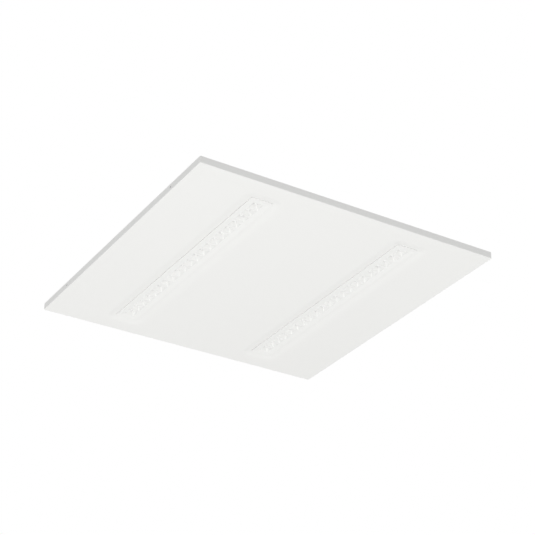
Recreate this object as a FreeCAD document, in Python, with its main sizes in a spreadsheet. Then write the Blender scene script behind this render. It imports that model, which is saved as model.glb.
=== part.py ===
import FreeCAD, Part

# Recessed two-strip ceiling light for a 600 mm grid, a parametric model in millimetres.
#
# The visible face looks down at z = 0. The origin is the middle of that face and +Z points up, into
# the ceiling void. X runs across the two optic strips and Y runs along them: left is -X, right is
# +X, front is -Y and rear is +Y.

import os

import Sketcher
from FreeCAD import Placement, Rotation, Vector

DOC = FreeCAD.newDocument("Troffer")
SHEET = DOC.addObject("Spreadsheet::Sheet", "Sizes")

TURNS = {
    "x": Rotation(Vector(0, 1, 0), 90),
    "y": Rotation(Vector(1, 0, 0), -90),
    "z": Rotation(),
}
LEFT, RIGHT = -1, 1
FRONT, REAR = -1, 1
SIDES = {"left": LEFT, "right": RIGHT}
ENDS = {"front": FRONT, "rear": REAR}


# ---------------------------------------------------------------------------------------------
# Sizes
# ---------------------------------------------------------------------------------------------

class Size:
    """A length that remembers the formula on the sheet's cells that it comes from."""

    def __init__(self, formula, value):
        self.formula = formula
        self.value = value

    @staticmethod
    def of(thing):
        return thing if isinstance(thing, Size) else Size(f"({float(thing)!r})", float(thing))

    def __add__(self, other):
        other = Size.of(other)
        return Size(f"({self.formula} + {other.formula})", self.value + other.value)

    def __sub__(self, other):
        other = Size.of(other)
        return Size(f"({self.formula} - {other.formula})", self.value - other.value)

    def __mul__(self, other):
        other = Size.of(other)
        return Size(f"({self.formula} * {other.formula})", self.value * other.value)

    def __truediv__(self, other):
        other = Size.of(other)
        return Size(f"({self.formula} / {other.formula})", self.value / other.value)

    def __neg__(self):
        return self * -1

    __radd__ = __add__
    __rmul__ = __mul__

    def __rsub__(self, other):
        return Size.of(other) - self


ROWS = iter(range(1, 200))


def cell(alias, number):
    """Write one driving dimension in the sheet and return it as a Size."""
    row = next(ROWS)
    SHEET.set(f"A{row}", alias)
    SHEET.set(f"B{row}", str(number))
    SHEET.setAlias(f"B{row}", alias)
    return Size(f"Sizes.{alias}", float(number))


# The face panel and its two openings.
PANEL_SIDE = cell("panel_side", 595)
STEEL = cell("steel", 0.8)
RIM_HEIGHT = cell("rim_height", 13)
FOLD_RADIUS = cell("fold_radius", 1.2)
STRIP_SPACING = cell("strip_spacing", 299)
OPENING_WIDTH = cell("opening_width", 42)
OPENING_LENGTH = cell("opening_length", 495)
DISH_MARGIN = cell("dish_margin", 19)
DISH_DEPTH = cell("dish_depth", 3)
LIP_HEIGHT = cell("lip_height", 4)
RIM_HOLE_RADIUS = cell("rim_hole_radius", 2)
RIM_HOLE_REACH = cell("rim_hole_reach", 198)
RIM_HOLE_HEIGHT = cell("rim_hole_height", 7)

# The louvres.
LOUVRE_GAP = cell("louvre_gap", 0.7)
LOUVRE_DROP = cell("louvre_drop", 1.2)
LOUVRE_SKIN = cell("louvre_skin", 2)
LOUVRE_HOLLOW = cell("louvre_hollow", 0.8)
HOLLOW_FLAT = cell("hollow_flat", 1.2)
CELL_PITCH = cell("cell_pitch", 22.5)
CELL_MOUTH = cell("cell_mouth", 18.6)
CELL_THROAT = cell("cell_throat", 9)
CELL_DEPTH = cell("cell_depth", 8.2)
CELL_WALL = cell("cell_wall", 1.2)
LOUVRE_RIB = cell("louvre_rib", 2.4)
HOOK_WIDTH = cell("hook_width", 8)
HOOK_HEIGHT = cell("hook_height", 1.6)
HOOK_REACH = cell("hook_reach", 1.4)
HOOK_PITCH = cell("hook_pitch", 135)

# The lens bars, LED boards and diodes.
LENS_GAP = cell("lens_gap", 0.3)
LENS_WIDTH = cell("lens_width", 26)
LENS_SKIN = cell("lens_skin", 1.5)
LENS_RIB = cell("lens_rib", 1.5)
LENS_RIB_HEIGHT = cell("lens_rib_height", 1.5)
DOME_RADIUS = cell("dome_radius", 3.5)
BOARD_WIDTH = cell("board_width", 38)
BOARD_THICKNESS = cell("board_thickness", 1.2)
BOARD_GAP = cell("board_gap", 0.5)
DIODE_SIDE = cell("diode_side", 3)
DIODE_HEIGHT = cell("diode_height", 0.7)
LINK_OFFSET = cell("link_offset", 16)
LINK_WIDTH = cell("link_width", 4)
LINK_LENGTH = cell("link_length", 14)
LINK_HEIGHT = cell("link_height", 2.8)

# The optic housings, stiffeners and suspension brackets.
HOUSING_CLEARANCE = cell("housing_clearance", 4)
HOUSING_FLANGE = cell("housing_flange", 12)
STIFFENER_REACH = cell("stiffener_reach", 195)
STIFFENER_TOP = cell("stiffener_top", 20)
STIFFENER_FLANGE = cell("stiffener_flange", 10)
STIFFENER_HEIGHT = cell("stiffener_height", 12)
STIFFENER_GAP = cell("stiffener_gap", 0.6)
BRACKET_REACH = cell("bracket_reach", 253)
BRACKET_SIDE = cell("bracket_side", 20)
BRACKET_SHEET = cell("bracket_sheet", 1.5)
BRACKET_TAB = cell("bracket_tab", 16)
BRACKET_HEIGHT = cell("bracket_height", 12)
BRACKET_HOLE_RADIUS = cell("bracket_hole_radius", 3)
RIVET_RADIUS = cell("rivet_radius", 1.6)
RIVET_HEAD_RADIUS = cell("rivet_head_radius", 3)
RIVET_HEAD_HEIGHT = cell("rivet_head_height", 1.1)
RIVET_SPACING = cell("rivet_spacing", 11)

# The gear tray and its hinged cover.
TRAY_WIDTH = cell("tray_width", 110)
TRAY_LENGTH = cell("tray_length", 300)
TRAY_HEIGHT = cell("tray_height", 39.2)
TRAY_FLANGE = cell("tray_flange", 15)
COVER_GAP = cell("cover_gap", 0.4)
COVER_SKIRT = cell("cover_skirt", 8)
PIN_RADIUS = cell("pin_radius", 1.25)
PIN_PLAY = cell("pin_play", 0.05)
BARREL_RADIUS = cell("barrel_radius", 2.6)
BARREL_GAP = cell("barrel_gap", 0.5)
EAR_SHEET = cell("ear_sheet", 1.2)
EAR_GAP = cell("ear_gap", 0.3)
COVER_BARREL_LENGTH = cell("cover_barrel_length", 24)
COVER_HINGE_REACH = cell("cover_hinge_reach", 105)
THUMB_REACH = cell("thumb_reach", 120)
THUMB_INSET = cell("thumb_inset", 7.5)
THUMB_HEAD_RADIUS = cell("thumb_head_radius", 6)
THUMB_HEAD_HEIGHT = cell("thumb_head_height", 7)
THUMB_COLLAR_RADIUS = cell("thumb_collar_radius", 3.4)
THUMB_COLLAR_HEIGHT = cell("thumb_collar_height", 1.5)
THUMB_SHANK_RADIUS = cell("thumb_shank_radius", 2)
THUMB_SHANK_LENGTH = cell("thumb_shank_length", 8)
THUMB_EXIT_PLAY = cell("thumb_exit_play", 0.8)

# The driver.
DRIVER_CENTRE = cell("driver_centre", 15)
DRIVER_LENGTH = cell("driver_length", 134)
DRIVER_WIDTH = cell("driver_width", 42)
DRIVER_HEIGHT = cell("driver_height", 28)
DRIVER_EDGE = cell("driver_edge", 1.5)
DRIVER_TERMINAL_LENGTH = cell("driver_terminal_length", 8)
DRIVER_TERMINAL_WIDTH = cell("driver_terminal_width", 30)
DRIVER_TERMINAL_HEIGHT = cell("driver_terminal_height", 20)
DRIVER_TAB_LENGTH = cell("driver_tab_length", 12)
DRIVER_TAB_REACH = cell("driver_tab_reach", 9)
DRIVER_TAB_OFFSET = cell("driver_tab_offset", 55)

# The mains terminal block and its levers.
BLOCK_LENGTH = cell("block_length", 26)
BLOCK_HEIGHT = cell("block_height", 16)
POLE_PITCH = cell("pole_pitch", 7)
BLOCK_CHEEK = cell("block_cheek", 2.5)
LEVER_WIDTH = cell("lever_width", 5)
LEVER_SIDE_GAP = cell("lever_side_gap", 0.4)
LEVER_LENGTH = cell("lever_length", 17)
LEVER_THICKNESS = cell("lever_thickness", 2.4)
LEVER_BARREL_RADIUS = cell("lever_barrel_radius", 1.9)
LEVER_PIN_RADIUS = cell("lever_pin_radius", 0.75)
LEVER_PIVOT_INSET = cell("lever_pivot_inset", 6)
LEVER_PIVOT_DEPTH = cell("lever_pivot_depth", 3)
LEVER_ROOM = cell("lever_room", 0.6)
ENTRY_RADIUS = cell("entry_radius", 1.6)
ENTRY_DEPTH = cell("entry_depth", 8)

# Wires, leads, grommets, cable clamp and earth post.
WIRE_RADIUS = cell("wire_radius", 1.2)
WIRE_HEIGHT = cell("wire_height", 6)
WIRE_BEND = cell("wire_bend", 4)
LEAD_RADIUS = cell("lead_radius", 1.8)
LEAD_LEVEL = cell("lead_level", 9.4)
LEAD_SPACING = cell("lead_spacing", 16)
LEAD_BEND = cell("lead_bend", 12)
LEAD_RUN = cell("lead_run", 10)
PLUG_LENGTH = cell("plug_length", 6)
PLUG_WIDTH = cell("plug_width", 9)
GROMMET_FLANGE = cell("grommet_flange", 1.6)
GROMMET_LIP = cell("grommet_lip", 1.5)
LEAD_GROMMET_RADIUS = cell("lead_grommet_radius", 2.9)
INLET_LEVEL = cell("inlet_level", 20)
INLET_RADIUS = cell("inlet_radius", 5)
INLET_GROMMET_RADIUS = cell("inlet_grommet_radius", 8)
CLAMP_INSET = cell("clamp_inset", 25)
CLAMP_LENGTH = cell("clamp_length", 10)
CLAMP_WIDTH = cell("clamp_width", 34)
CLAMP_BAR_THICKNESS = cell("clamp_bar_thickness", 3)
CLAMP_SCREW_SPACING = cell("clamp_screw_spacing", 24)
EARTH_REACH = cell("earth_reach", 34)
EARTH_POST_RADIUS = cell("earth_post_radius", 4)
LUG_THICKNESS = cell("lug_thickness", 1)

# Screws: shank and head.
SMALL_SCREW_RADIUS = cell("small_screw_radius", 1.5)
SMALL_HEAD_RADIUS = cell("small_head_radius", 2.8)
SMALL_HEAD_HEIGHT = cell("small_head_height", 1.8)
BIG_SCREW_RADIUS = cell("big_screw_radius", 2)
BIG_HEAD_RADIUS = cell("big_head_radius", 3.6)
BIG_HEAD_HEIGHT = cell("big_head_height", 2.4)
SCREW_PLAY = cell("screw_play", 0.2)

# The fold-up grid clips.
CLIP_WIDTH = cell("clip_width", 30)
CLIP_LENGTH = cell("clip_length", 34)
CLIP_SHEET = cell("clip_sheet", 1.2)
CLIP_AXIS_INSET = cell("clip_axis_inset", 5)
CLIP_AXIS_HEIGHT = cell("clip_axis_height", 12)
CLIP_HOLE_RADIUS = cell("clip_hole_radius", 2.5)
CLIP_HOLE_INSET = cell("clip_hole_inset", 7)
CLIP_BACK_SHEET = cell("clip_back_sheet", 1)
CLIP_BACK_FOOT = cell("clip_back_foot", 2)

# Counts.
CELL_COUNT = 21
CELLS_PER_BOARD = 7
BOARD_COUNT = CELL_COUNT // CELLS_PER_BOARD
HOOKS_PER_SIDE = 4
POLES = ("live", "neutral", "earth")

# Levels above the visible face.
FACE_BACK = STEEL
LIP_TOP = DISH_DEPTH + LIP_HEIGHT
LOUVRE_FACE = DISH_DEPTH - LOUVRE_DROP
CELL_MOUTH_LEVEL = LOUVRE_FACE + LOUVRE_HOLLOW
LOUVRE_BACK = LOUVRE_FACE + LOUVRE_SKIN
LOUVRE_TOP = LOUVRE_FACE + CELL_DEPTH
LENS_BOTTOM = LOUVRE_TOP + LENS_GAP
LENS_TOP = LENS_BOTTOM + LENS_SKIN
BOARD_BOTTOM = LENS_TOP + LENS_RIB_HEIGHT
BOARD_TOP = BOARD_BOTTOM + BOARD_THICKNESS
ROOF_TOP = BOARD_TOP + STEEL
FLANGE_TOP = FACE_BACK + STEEL
TRAY_FLOOR = FACE_BACK + STEEL
TRAY_TOP = FACE_BACK + TRAY_HEIGHT
COVER_BOTTOM = TRAY_TOP + COVER_GAP
COVER_TOP = COVER_BOTTOM + STEEL
COVER_AXIS_LEVEL = COVER_BOTTOM + STEEL / 2
DRIVER_TOP = TRAY_FLOOR + DRIVER_HEIGHT
BLOCK_TOP = TRAY_FLOOR + BLOCK_HEIGHT
LEVER_AXIS_LEVEL = BLOCK_TOP - LEVER_PIVOT_DEPTH
WIRE_LEVEL = TRAY_FLOOR + WIRE_HEIGHT
CLAMP_SADDLE = INLET_LEVEL - INLET_RADIUS
CLAMP_BAR_BOTTOM = INLET_LEVEL + INLET_RADIUS

# Half sizes and places in plan.
PANEL_HALF = PANEL_SIDE / 2
STRIP_OFFSET = STRIP_SPACING / 2
OPENING_HALF = (OPENING_WIDTH / 2, OPENING_LENGTH / 2)
DISH_HALF = (OPENING_HALF[0] + DISH_MARGIN, OPENING_HALF[1] + DISH_MARGIN)
LOUVRE_HALF = (OPENING_HALF[0] - LOUVRE_GAP, OPENING_HALF[1] - LOUVRE_GAP)
HOUSING_HALF = (DISH_HALF[0] + HOUSING_CLEARANCE, DISH_HALF[1] + HOUSING_CLEARANCE)
CELLS_HALF = CELL_PITCH * (CELL_COUNT / 2)
BOARD_LENGTH = CELL_PITCH * CELLS_PER_BOARD
TRAY_HALF = (TRAY_WIDTH / 2, TRAY_LENGTH / 2)
COVER_AXIS_X = -(TRAY_HALF[0] + BARREL_GAP + BARREL_RADIUS)
THUMB_X = TRAY_HALF[0] - THUMB_INSET
DRIVER_FRONT = DRIVER_CENTRE - DRIVER_LENGTH / 2
DRIVER_REAR = DRIVER_CENTRE + DRIVER_LENGTH / 2
DRIVER_INPUT_END = DRIVER_FRONT - DRIVER_TERMINAL_LENGTH
DRIVER_OUTPUT_END = DRIVER_REAR + DRIVER_TERMINAL_LENGTH
LEAD_LINE = DRIVER_OUTPUT_END + LEAD_RUN + LEAD_BEND
PLUG_OUTER = STRIP_OFFSET - BOARD_WIDTH / 2
CLAMP_REACH = TRAY_HALF[1] - CLAMP_INSET
BLOCK_FRONT = TRAY_LENGTH / 3
BLOCK_REAR = -BLOCK_FRONT + BLOCK_LENGTH
BLOCK_HALF = POLE_PITCH * (len(POLES) / 2) + BLOCK_CHEEK
LEVER_AXIS_Y = BLOCK_REAR - LEVER_PIVOT_INSET
CLIP_AXIS_X = PANEL_HALF - CLIP_AXIS_INSET


# ---------------------------------------------------------------------------------------------
# Making and binding
# ---------------------------------------------------------------------------------------------

def bind(item, field, size):
    """Tie one property of a document object to the sheet."""
    size = Size.of(size)
    item.setExpression(field, size.formula)


def put(item, place):
    """Bind an object's position to three sizes."""
    for axis, size in zip("xyz", place):
        bind(item, f".Placement.Base.{axis}", size)
    return item


def shape_block(item, across, along, up):
    """Stretch a box object between two places on each axis."""
    spans = [(Size.of(low), Size.of(high)) for low, high in (across, along, up)]
    for field, (low, high) in zip(("Length", "Width", "Height"), spans):
        bind(item, field, high - low)
    return put(item, [low for low, high in spans])


def block(name, across, along, up):
    return shape_block(DOC.addObject("Part::Box", name), across, along, up)


def around(centre, half):
    """The two places half a width either side of a centre."""
    return centre - half, centre + half


def shape_frustum(item, centre, levels, low_half, high_half):
    """Shape a wedge as a four-sided frustum standing up, its own Y axis turned to Z."""
    low, high = levels
    fields = {
        "Xmin": -low_half[0], "Xmax": low_half[0], "Zmin": -low_half[1], "Zmax": low_half[1],
        "X2min": -high_half[0], "X2max": high_half[0], "Z2min": -high_half[1], "Z2max": high_half[1],
        "Ymin": 0, "Ymax": high - low,
    }
    for field, size in fields.items():
        bind(item, field, size)
    item.Placement = Placement(Vector(), Rotation(Vector(1, 0, 0), 90))
    return put(item, (centre[0], centre[1], low))


def rod(name, radius, start, length, axis="z"):
    """A cylinder from a start point along one axis."""
    cylinder = DOC.addObject("Part::Cylinder", name)
    cylinder.Placement = Placement(Vector(), TURNS[axis])
    bind(cylinder, "Radius", radius)
    bind(cylinder, "Height", length)
    return put(cylinder, start)


def fuse(name, *pieces):
    joined = DOC.addObject("Part::MultiFuse", name)
    joined.Shapes = list(pieces)
    return joined


def cut(name, base, *tools):
    """Take one or more tools out of a base."""
    trimmed = DOC.addObject("Part::Cut", name)
    trimmed.Base = base
    trimmed.Tool = tools[0] if len(tools) == 1 else gather(f"{name}_tools", *tools)
    return trimmed


def gather(name, *pieces):
    """Several separate solids under one name."""
    bundle = DOC.addObject("Part::Compound", name)
    bundle.Links = list(pieces)
    return bundle


def body(name):
    return DOC.addObject("PartDesign::Body", name)


def origin_plane(owner, role):
    return next(item for item in owner.Origin.OriginFeatures if item.Role == role)


def outline(owner, name, plane, points):
    """A closed sketch of straight lines, each corner held at two sizes from the origin."""
    sketch = owner.newObject("Sketcher::SketchObject", name)
    sketch.AttachmentSupport = [(origin_plane(owner, plane), "")]
    sketch.MapMode = "FlatFace"
    corners = [[Size.of(value) for value in point] for point in points]
    count = len(corners)
    for index in range(count):
        ends = [Vector(u.value, v.value, 0) for u, v in (corners[index], corners[(index + 1) % count])]
        sketch.addGeometry(Part.LineSegment(*ends), False)
    for index in range(count):
        sketch.addConstraint(Sketcher.Constraint("Coincident", index, 2, (index + 1) % count, 1))
    for index, (u, v) in enumerate(corners):
        for kind, size in (("DistanceX", u), ("DistanceY", v)):
            number = sketch.addConstraint(Sketcher.Constraint(kind, -1, 1, index, 1, size.value))
            sketch.setExpression(f"Constraints[{number}]", size.formula)
    return sketch


def turned(name, points):
    """A body of revolution about its own Z axis, from an outline in its XZ plane."""
    owner = body(name)
    sketch = outline(owner, f"{name}_outline", "XZ_Plane", points)
    spin = owner.newObject("PartDesign::Revolution", f"{name}_turning")
    spin.Profile = sketch
    spin.ReferenceAxis = (sketch, ["V_Axis"])
    spin.Angle = 360
    return owner


def extruded(name, plane, points, length):
    """A body pushed out of one of its origin planes."""
    owner = body(name)
    pad = owner.newObject("PartDesign::Pad", f"{name}_pad")
    pad.Profile = outline(owner, f"{name}_outline", plane, points)
    bind(pad, "Length", length)
    return owner


def feature(owner, kind, name):
    return owner.newObject(f"PartDesign::{kind}", name)


def repeat_along_y(owner, first, name, pitch, count):
    """Repeat one feature of a body along Y, starting from the foremost."""
    pattern = feature(owner, "LinearPattern", name)
    pattern.Originals = [first]
    pattern.Direction = (origin_plane(owner, "Y_Axis"), [""])
    pattern.Occurrences = count
    bind(pattern, "Length", pitch * (count - 1))
    owner.Tip = pattern
    return pattern


def screw(name, place, shank, head, downward=True):
    """A pan-head screw: place is the middle of the head's seat, shank and head are radius and length."""
    x, y, z = place
    if downward:
        shank_start, head_start = z - shank[1], z
    else:
        shank_start, head_start = z, z - head[1]
    stem = rod(f"{name}_shank", shank[0], (x, y, shank_start), shank[1])
    cap = rod(f"{name}_head", head[0], (x, y, head_start), head[1])
    return fuse(name, stem, cap)


def quarter_bend(name, radius, bend, centre, start_angle):
    """A quarter of a ring lying flat, swept from a start angle."""
    ring = DOC.addObject("Part::Torus", name)
    bind(ring, "Radius1", bend)
    bind(ring, "Radius2", radius)
    ring.Angle3 = 90
    ring.Placement = Placement(Vector(), Rotation(Vector(0, 0, 1), start_angle))
    return put(ring, centre)


# ---------------------------------------------------------------------------------------------
# Face panel
# ---------------------------------------------------------------------------------------------

def edges_where(shape, test):
    """The names of a shape's edges that pass a test on their bounding box."""
    return [f"Edge{number}" for number, edge in enumerate(shape.Edges, 1) if test(edge.BoundBox)]


def round_folds(owner, name, base, radius, level):
    """Round the edges of a block that lie at one level or stand upright."""
    DOC.recompute()
    names = edges_where(
        base.Shape,
        lambda box: box.ZLength > 1 or (abs(box.ZMin - level) < 1e-6 and abs(box.ZMax - level) < 1e-6),
    )
    fillet = feature(owner, "Fillet", name)
    fillet.Base = (base, names)
    bind(fillet, "Radius", radius)
    return fillet


def sheet_tray(half, low, high, radius, name):
    """A square block with rounded folds at its bottom and its upright corners."""
    owner = body(name)
    shell = shape_block(feature(owner, "AdditiveBox", f"{name}_block"), (-half, half), (-half, half), (low, high))
    round_folds(owner, f"{name}_folds", shell, radius, low.value)
    return owner


def dish(name, strip, lift):
    """The sloped surround of one opening, as a filled frustum lifted by a sheet's thickness or not."""
    wedge = DOC.addObject("Part::Wedge", name)
    return shape_frustum(wedge, (strip, 0), (lift, DISH_DEPTH + lift), DISH_HALF, OPENING_HALF)


def face_panel():
    """The folded steel face with a dished surround and an upright lip round each opening."""
    outside = sheet_tray(PANEL_HALF, Size.of(0), RIM_HEIGHT, FOLD_RADIUS, "face_outside")
    room = PANEL_HALF - STEEL
    inside = sheet_tray(room, FACE_BACK, RIM_HEIGHT + STEEL, FOLD_RADIUS - STEEL, "face_inside")
    tray = cut("face_tray", outside, inside)
    raised, removed = [], []
    for side, sign in SIDES.items():
        strip = STRIP_OFFSET * sign
        lip_half = [half + STEEL for half in OPENING_HALF]
        raised.append(dish(f"dish_{side}", strip, STEEL))
        raised.append(block(f"lip_{side}", around(strip, lip_half[0]), around(0, lip_half[1]),
                            (DISH_DEPTH, LIP_TOP)))
        removed.append(dish(f"dish_hollow_{side}", strip, Size.of(0)))
        removed.append(block(f"opening_{side}", around(strip, OPENING_HALF[0]), around(0, OPENING_HALF[1]),
                             (-STEEL, LIP_TOP + STEEL)))
        removed.append(rim_holes(side, sign))
    return cut("face_panel", fuse("face_raised", tray, *raised), *removed)


def rim_holes(side, sign):
    """Two small holes through the rim on one side, where the clip brackets can be screwed."""
    depth = STEEL + CLIP_BACK_SHEET * 2
    start = PANEL_HALF * sign - (depth if sign == RIGHT else 0)
    holes = [rod(f"rim_hole_{side}_{end}", RIM_HOLE_RADIUS, (start, RIM_HOLE_REACH * toward, RIM_HOLE_HEIGHT),
                 depth, "x") for end, toward in ENDS.items()]
    return gather(f"rim_holes_{side}", *holes)


# ---------------------------------------------------------------------------------------------
# Optics
# ---------------------------------------------------------------------------------------------

def louvre(side, sign):
    """One moulded louvre: a skin with a row of square cups, a stiffening rib and snap hooks."""
    name = f"louvre_{side}"
    owner = body(name)
    put(owner, (STRIP_OFFSET * sign, 0, 0))
    across, along = LOUVRE_HALF
    shape_block(feature(owner, "AdditiveBox", f"{name}_skin"), (-across, across), (-along, along),
                (LOUVRE_FACE, LOUVRE_BACK + LOUVRE_RIB))
    inner = (across - CELL_WALL, along - CELL_WALL)
    shape_block(feature(owner, "SubtractiveBox", f"{name}_back"), (-inner[0], inner[0]), (-inner[1], inner[1]),
                (LOUVRE_BACK, LOUVRE_BACK + LOUVRE_RIB * 2))
    hollow_low = [half - HOLLOW_FLAT for half in LOUVRE_HALF]
    hollow_high = (CELL_MOUTH / 2 + HOLLOW_FLAT / 2, CELLS_HALF)
    shape_frustum(feature(owner, "SubtractiveWedge", f"{name}_hollow"), (0, 0),
                  (LOUVRE_FACE, CELL_MOUTH_LEVEL), hollow_low, hollow_high)
    mouth, throat = CELL_MOUTH / 2, CELL_THROAT / 2
    flare = (mouth - throat) / (CELL_DEPTH - LOUVRE_HOLLOW)
    back_half = throat + CELL_WALL + flare * (LOUVRE_TOP - LOUVRE_BACK)
    foremost = (0, cell_places()[0])
    cup = shape_frustum(feature(owner, "AdditiveWedge", f"{name}_cup"), foremost, (LOUVRE_BACK, LOUVRE_TOP),
                        (back_half, back_half), (throat + CELL_WALL, throat + CELL_WALL))
    repeat_along_y(owner, cup, f"{name}_cups", CELL_PITCH, CELL_COUNT)
    cell_void = shape_frustum(feature(owner, "SubtractiveWedge", f"{name}_cell"), foremost,
                              (CELL_MOUTH_LEVEL, LOUVRE_TOP), (mouth, mouth), (throat, throat))
    repeat_along_y(owner, cell_void, f"{name}_cells", CELL_PITCH, CELL_COUNT)
    for hook_side, toward in SIDES.items():
        for index in range(HOOKS_PER_SIDE):
            hook(owner, f"{name}_hook_{hook_side}_{index + 1}", toward, hook_place(index))
    return owner


def hook_place(index):
    return HOOK_PITCH * (index - (HOOKS_PER_SIDE - 1) / 2)


def hook(owner, name, toward, place):
    """A leg up the inside of the lip with a nose that rests on the lip's top."""
    edge = LOUVRE_HALF[0]
    spans = {
        "leg": ((edge - CELL_WALL, edge), (LOUVRE_BACK, LIP_TOP + HOOK_HEIGHT)),
        "nose": ((edge, edge + HOOK_REACH), (LIP_TOP, LIP_TOP + HOOK_HEIGHT)),
    }
    for part, (across, up) in spans.items():
        if toward == LEFT:
            across = (-across[1], -across[0])
        shape_block(feature(owner, "AdditiveBox", f"{name}_{part}"), across, around(place, HOOK_WIDTH / 2), up)


def cell_places():
    return [CELL_PITCH * (index - (CELL_COUNT - 1) / 2) for index in range(CELL_COUNT)]


def board_places():
    return [BOARD_LENGTH * (index - (BOARD_COUNT - 1) / 2) for index in range(BOARD_COUNT)]


def board_screw_places():
    """The lines between cells where each board is screwed up, one near each of its ends."""
    offset = CELL_PITCH * ((CELLS_PER_BOARD - 2) / 2)
    return [board + offset * end for board in board_places() for end in (FRONT, REAR)]


def screw_holes(name, strip, places, levels, radius):
    low, high = levels
    return [rod(f"{name}_hole_{index}", radius, (strip, place, low), high - low)
            for index, place in enumerate(places, 1)]


def lens_bar(side, sign):
    """A clear bar with a rib down each edge and a dome over each diode."""
    name = f"lens_bar_{side}"
    strip = STRIP_OFFSET * sign
    half = LENS_WIDTH / 2
    along = around(0, CELLS_HALF)
    pieces = [block(f"{name}_skin", around(strip, half), along, (LENS_BOTTOM, LENS_TOP))]
    for edge, toward in SIDES.items():
        line = strip + (half - LENS_RIB / 2) * toward
        pieces.append(block(f"{name}_rib_{edge}", around(line, LENS_RIB / 2), along, (LENS_TOP, BOARD_BOTTOM)))
    for index, place in enumerate(cell_places(), 1):
        dome = DOC.addObject("Part::Sphere", f"{name}_dome_{index}")
        bind(dome, "Radius", DOME_RADIUS)
        dome.Angle2 = 0
        pieces.append(put(dome, (strip, place, LENS_BOTTOM)))
    holes = screw_holes(name, strip, board_screw_places(), (LENS_BOTTOM - STEEL, BOARD_BOTTOM),
                        SMALL_SCREW_RADIUS + SCREW_PLAY)
    return cut(name, fuse(f"{name}_blank", *pieces), *holes)


def led_boards(side, sign):
    """The boards of one strip, end to end."""
    boards = []
    strip = STRIP_OFFSET * sign
    for label, place in zip(("front", "middle", "rear"), board_places()):
        name = f"led_board_{side}_{label}"
        blank = block(f"{name}_blank", around(strip, BOARD_WIDTH / 2),
                      around(place, (BOARD_LENGTH - BOARD_GAP) / 2), (BOARD_BOTTOM, BOARD_TOP))
        reach = CELL_PITCH * ((CELLS_PER_BOARD - 2) / 2)
        holes = screw_holes(name, strip, [place - reach, place + reach], (BOARD_BOTTOM, BOARD_TOP),
                            SMALL_SCREW_RADIUS + SCREW_PLAY)
        boards.append(cut(name, blank, *holes))
    return boards


def diodes(side, sign):
    """One diode under the board over each cell."""
    strip = STRIP_OFFSET * sign
    chips = [block(f"diode_{side}_{index}", around(strip, DIODE_SIDE / 2), around(place, DIODE_SIDE / 2),
                   (BOARD_BOTTOM - DIODE_HEIGHT, BOARD_BOTTOM)) for index, place in enumerate(cell_places(), 1)]
    return gather(f"diodes_{side}", *chips)


def board_screws():
    """Screws up through lens bar, board and housing roof, their heads between the cups."""
    shank = (SMALL_SCREW_RADIUS, ROOF_TOP - LENS_BOTTOM)
    head = (SMALL_HEAD_RADIUS, SMALL_HEAD_HEIGHT)
    screws = []
    for side, sign in SIDES.items():
        for index, place in enumerate(board_screw_places(), 1):
            seat = (STRIP_OFFSET * sign, place, LENS_BOTTOM)
            screws.append(screw(f"board_screw_{side}_{index}", seat, shank, head, downward=False))
    return gather("board_screws", *screws)


def board_links():
    """Small connectors that bridge the joint between two boards."""
    links = []
    for side, sign in SIDES.items():
        line = (STRIP_OFFSET + LINK_OFFSET) * sign
        for end, toward in ENDS.items():
            joint = BOARD_LENGTH * (toward / 2)
            links.append(block(f"board_link_{side}_{end}", around(line, LINK_WIDTH / 2),
                               around(joint, LINK_LENGTH / 2), (BOARD_BOTTOM - LINK_HEIGHT, BOARD_BOTTOM)))
    return gather("board_links", *links)


# ---------------------------------------------------------------------------------------------
# Housings, stiffeners and suspension brackets
# ---------------------------------------------------------------------------------------------

def optic_housing(side, sign):
    """A folded channel with a foot flange all round, closed at its ends, over one strip."""
    name = f"optic_housing_{side}"
    strip = STRIP_OFFSET * sign
    inner, wall = HOUSING_HALF, [half + STEEL for half in HOUSING_HALF]
    foot = [half + HOUSING_FLANGE for half in wall]
    shell = block(f"{name}_shell", around(strip, wall[0]), around(0, wall[1]), (FACE_BACK, ROOF_TOP))
    flange = block(f"{name}_flange", around(strip, foot[0]), around(0, foot[1]), (FACE_BACK, FLANGE_TOP))
    room = block(f"{name}_room", around(strip, inner[0]), around(0, inner[1]), (FACE_BACK, BOARD_TOP))
    holes = screw_holes(name, strip, board_screw_places(), (BOARD_TOP, ROOF_TOP), SMALL_SCREW_RADIUS)
    holes += [rod(f"{name}_rivet_hole_{index}", RIVET_RADIUS, (x, y, BOARD_TOP), STEEL)
              for index, (x, y) in enumerate(rivet_places(sign), 1)]
    entry = (STRIP_OFFSET - wall[0]) * sign - (STEEL if sign == LEFT else 0)
    holes.append(rod(f"{name}_lead_hole", LEAD_GROMMET_RADIUS, (entry, LEAD_LINE, LEAD_LEVEL), STEEL, "x"))
    return cut(name, fuse(f"{name}_folded", shell, flange), room, *holes)


def stiffener(end, toward):
    """A top-hat rail between the two housings."""
    top, tall = STIFFENER_TOP / 2, STIFFENER_HEIGHT
    foot = top + STIFFENER_FLANGE
    points = [
        (-foot, 0), (-top + STEEL, 0), (-top + STEEL, tall - STEEL), (top - STEEL, tall - STEEL),
        (top - STEEL, 0), (foot, 0), (foot, STEEL), (top, STEEL), (top, tall), (-top, tall),
        (-top, STEEL), (-foot, STEEL),
    ]
    reach = STRIP_OFFSET - HOUSING_HALF[0] - STEEL - HOUSING_FLANGE - STIFFENER_GAP
    rail = extruded(f"cross_stiffener_{end}", "YZ_Plane", points, reach * 2)
    return put(rail, (-reach, STIFFENER_REACH * toward, FACE_BACK))


def rivet_places(sign):
    """Plan places of the rivets in one housing's roof."""
    return [(STRIP_OFFSET * sign + RIVET_SPACING / 2 * across, BRACKET_REACH * toward)
            for toward in (FRONT, REAR) for across in (LEFT, RIGHT)]


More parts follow.
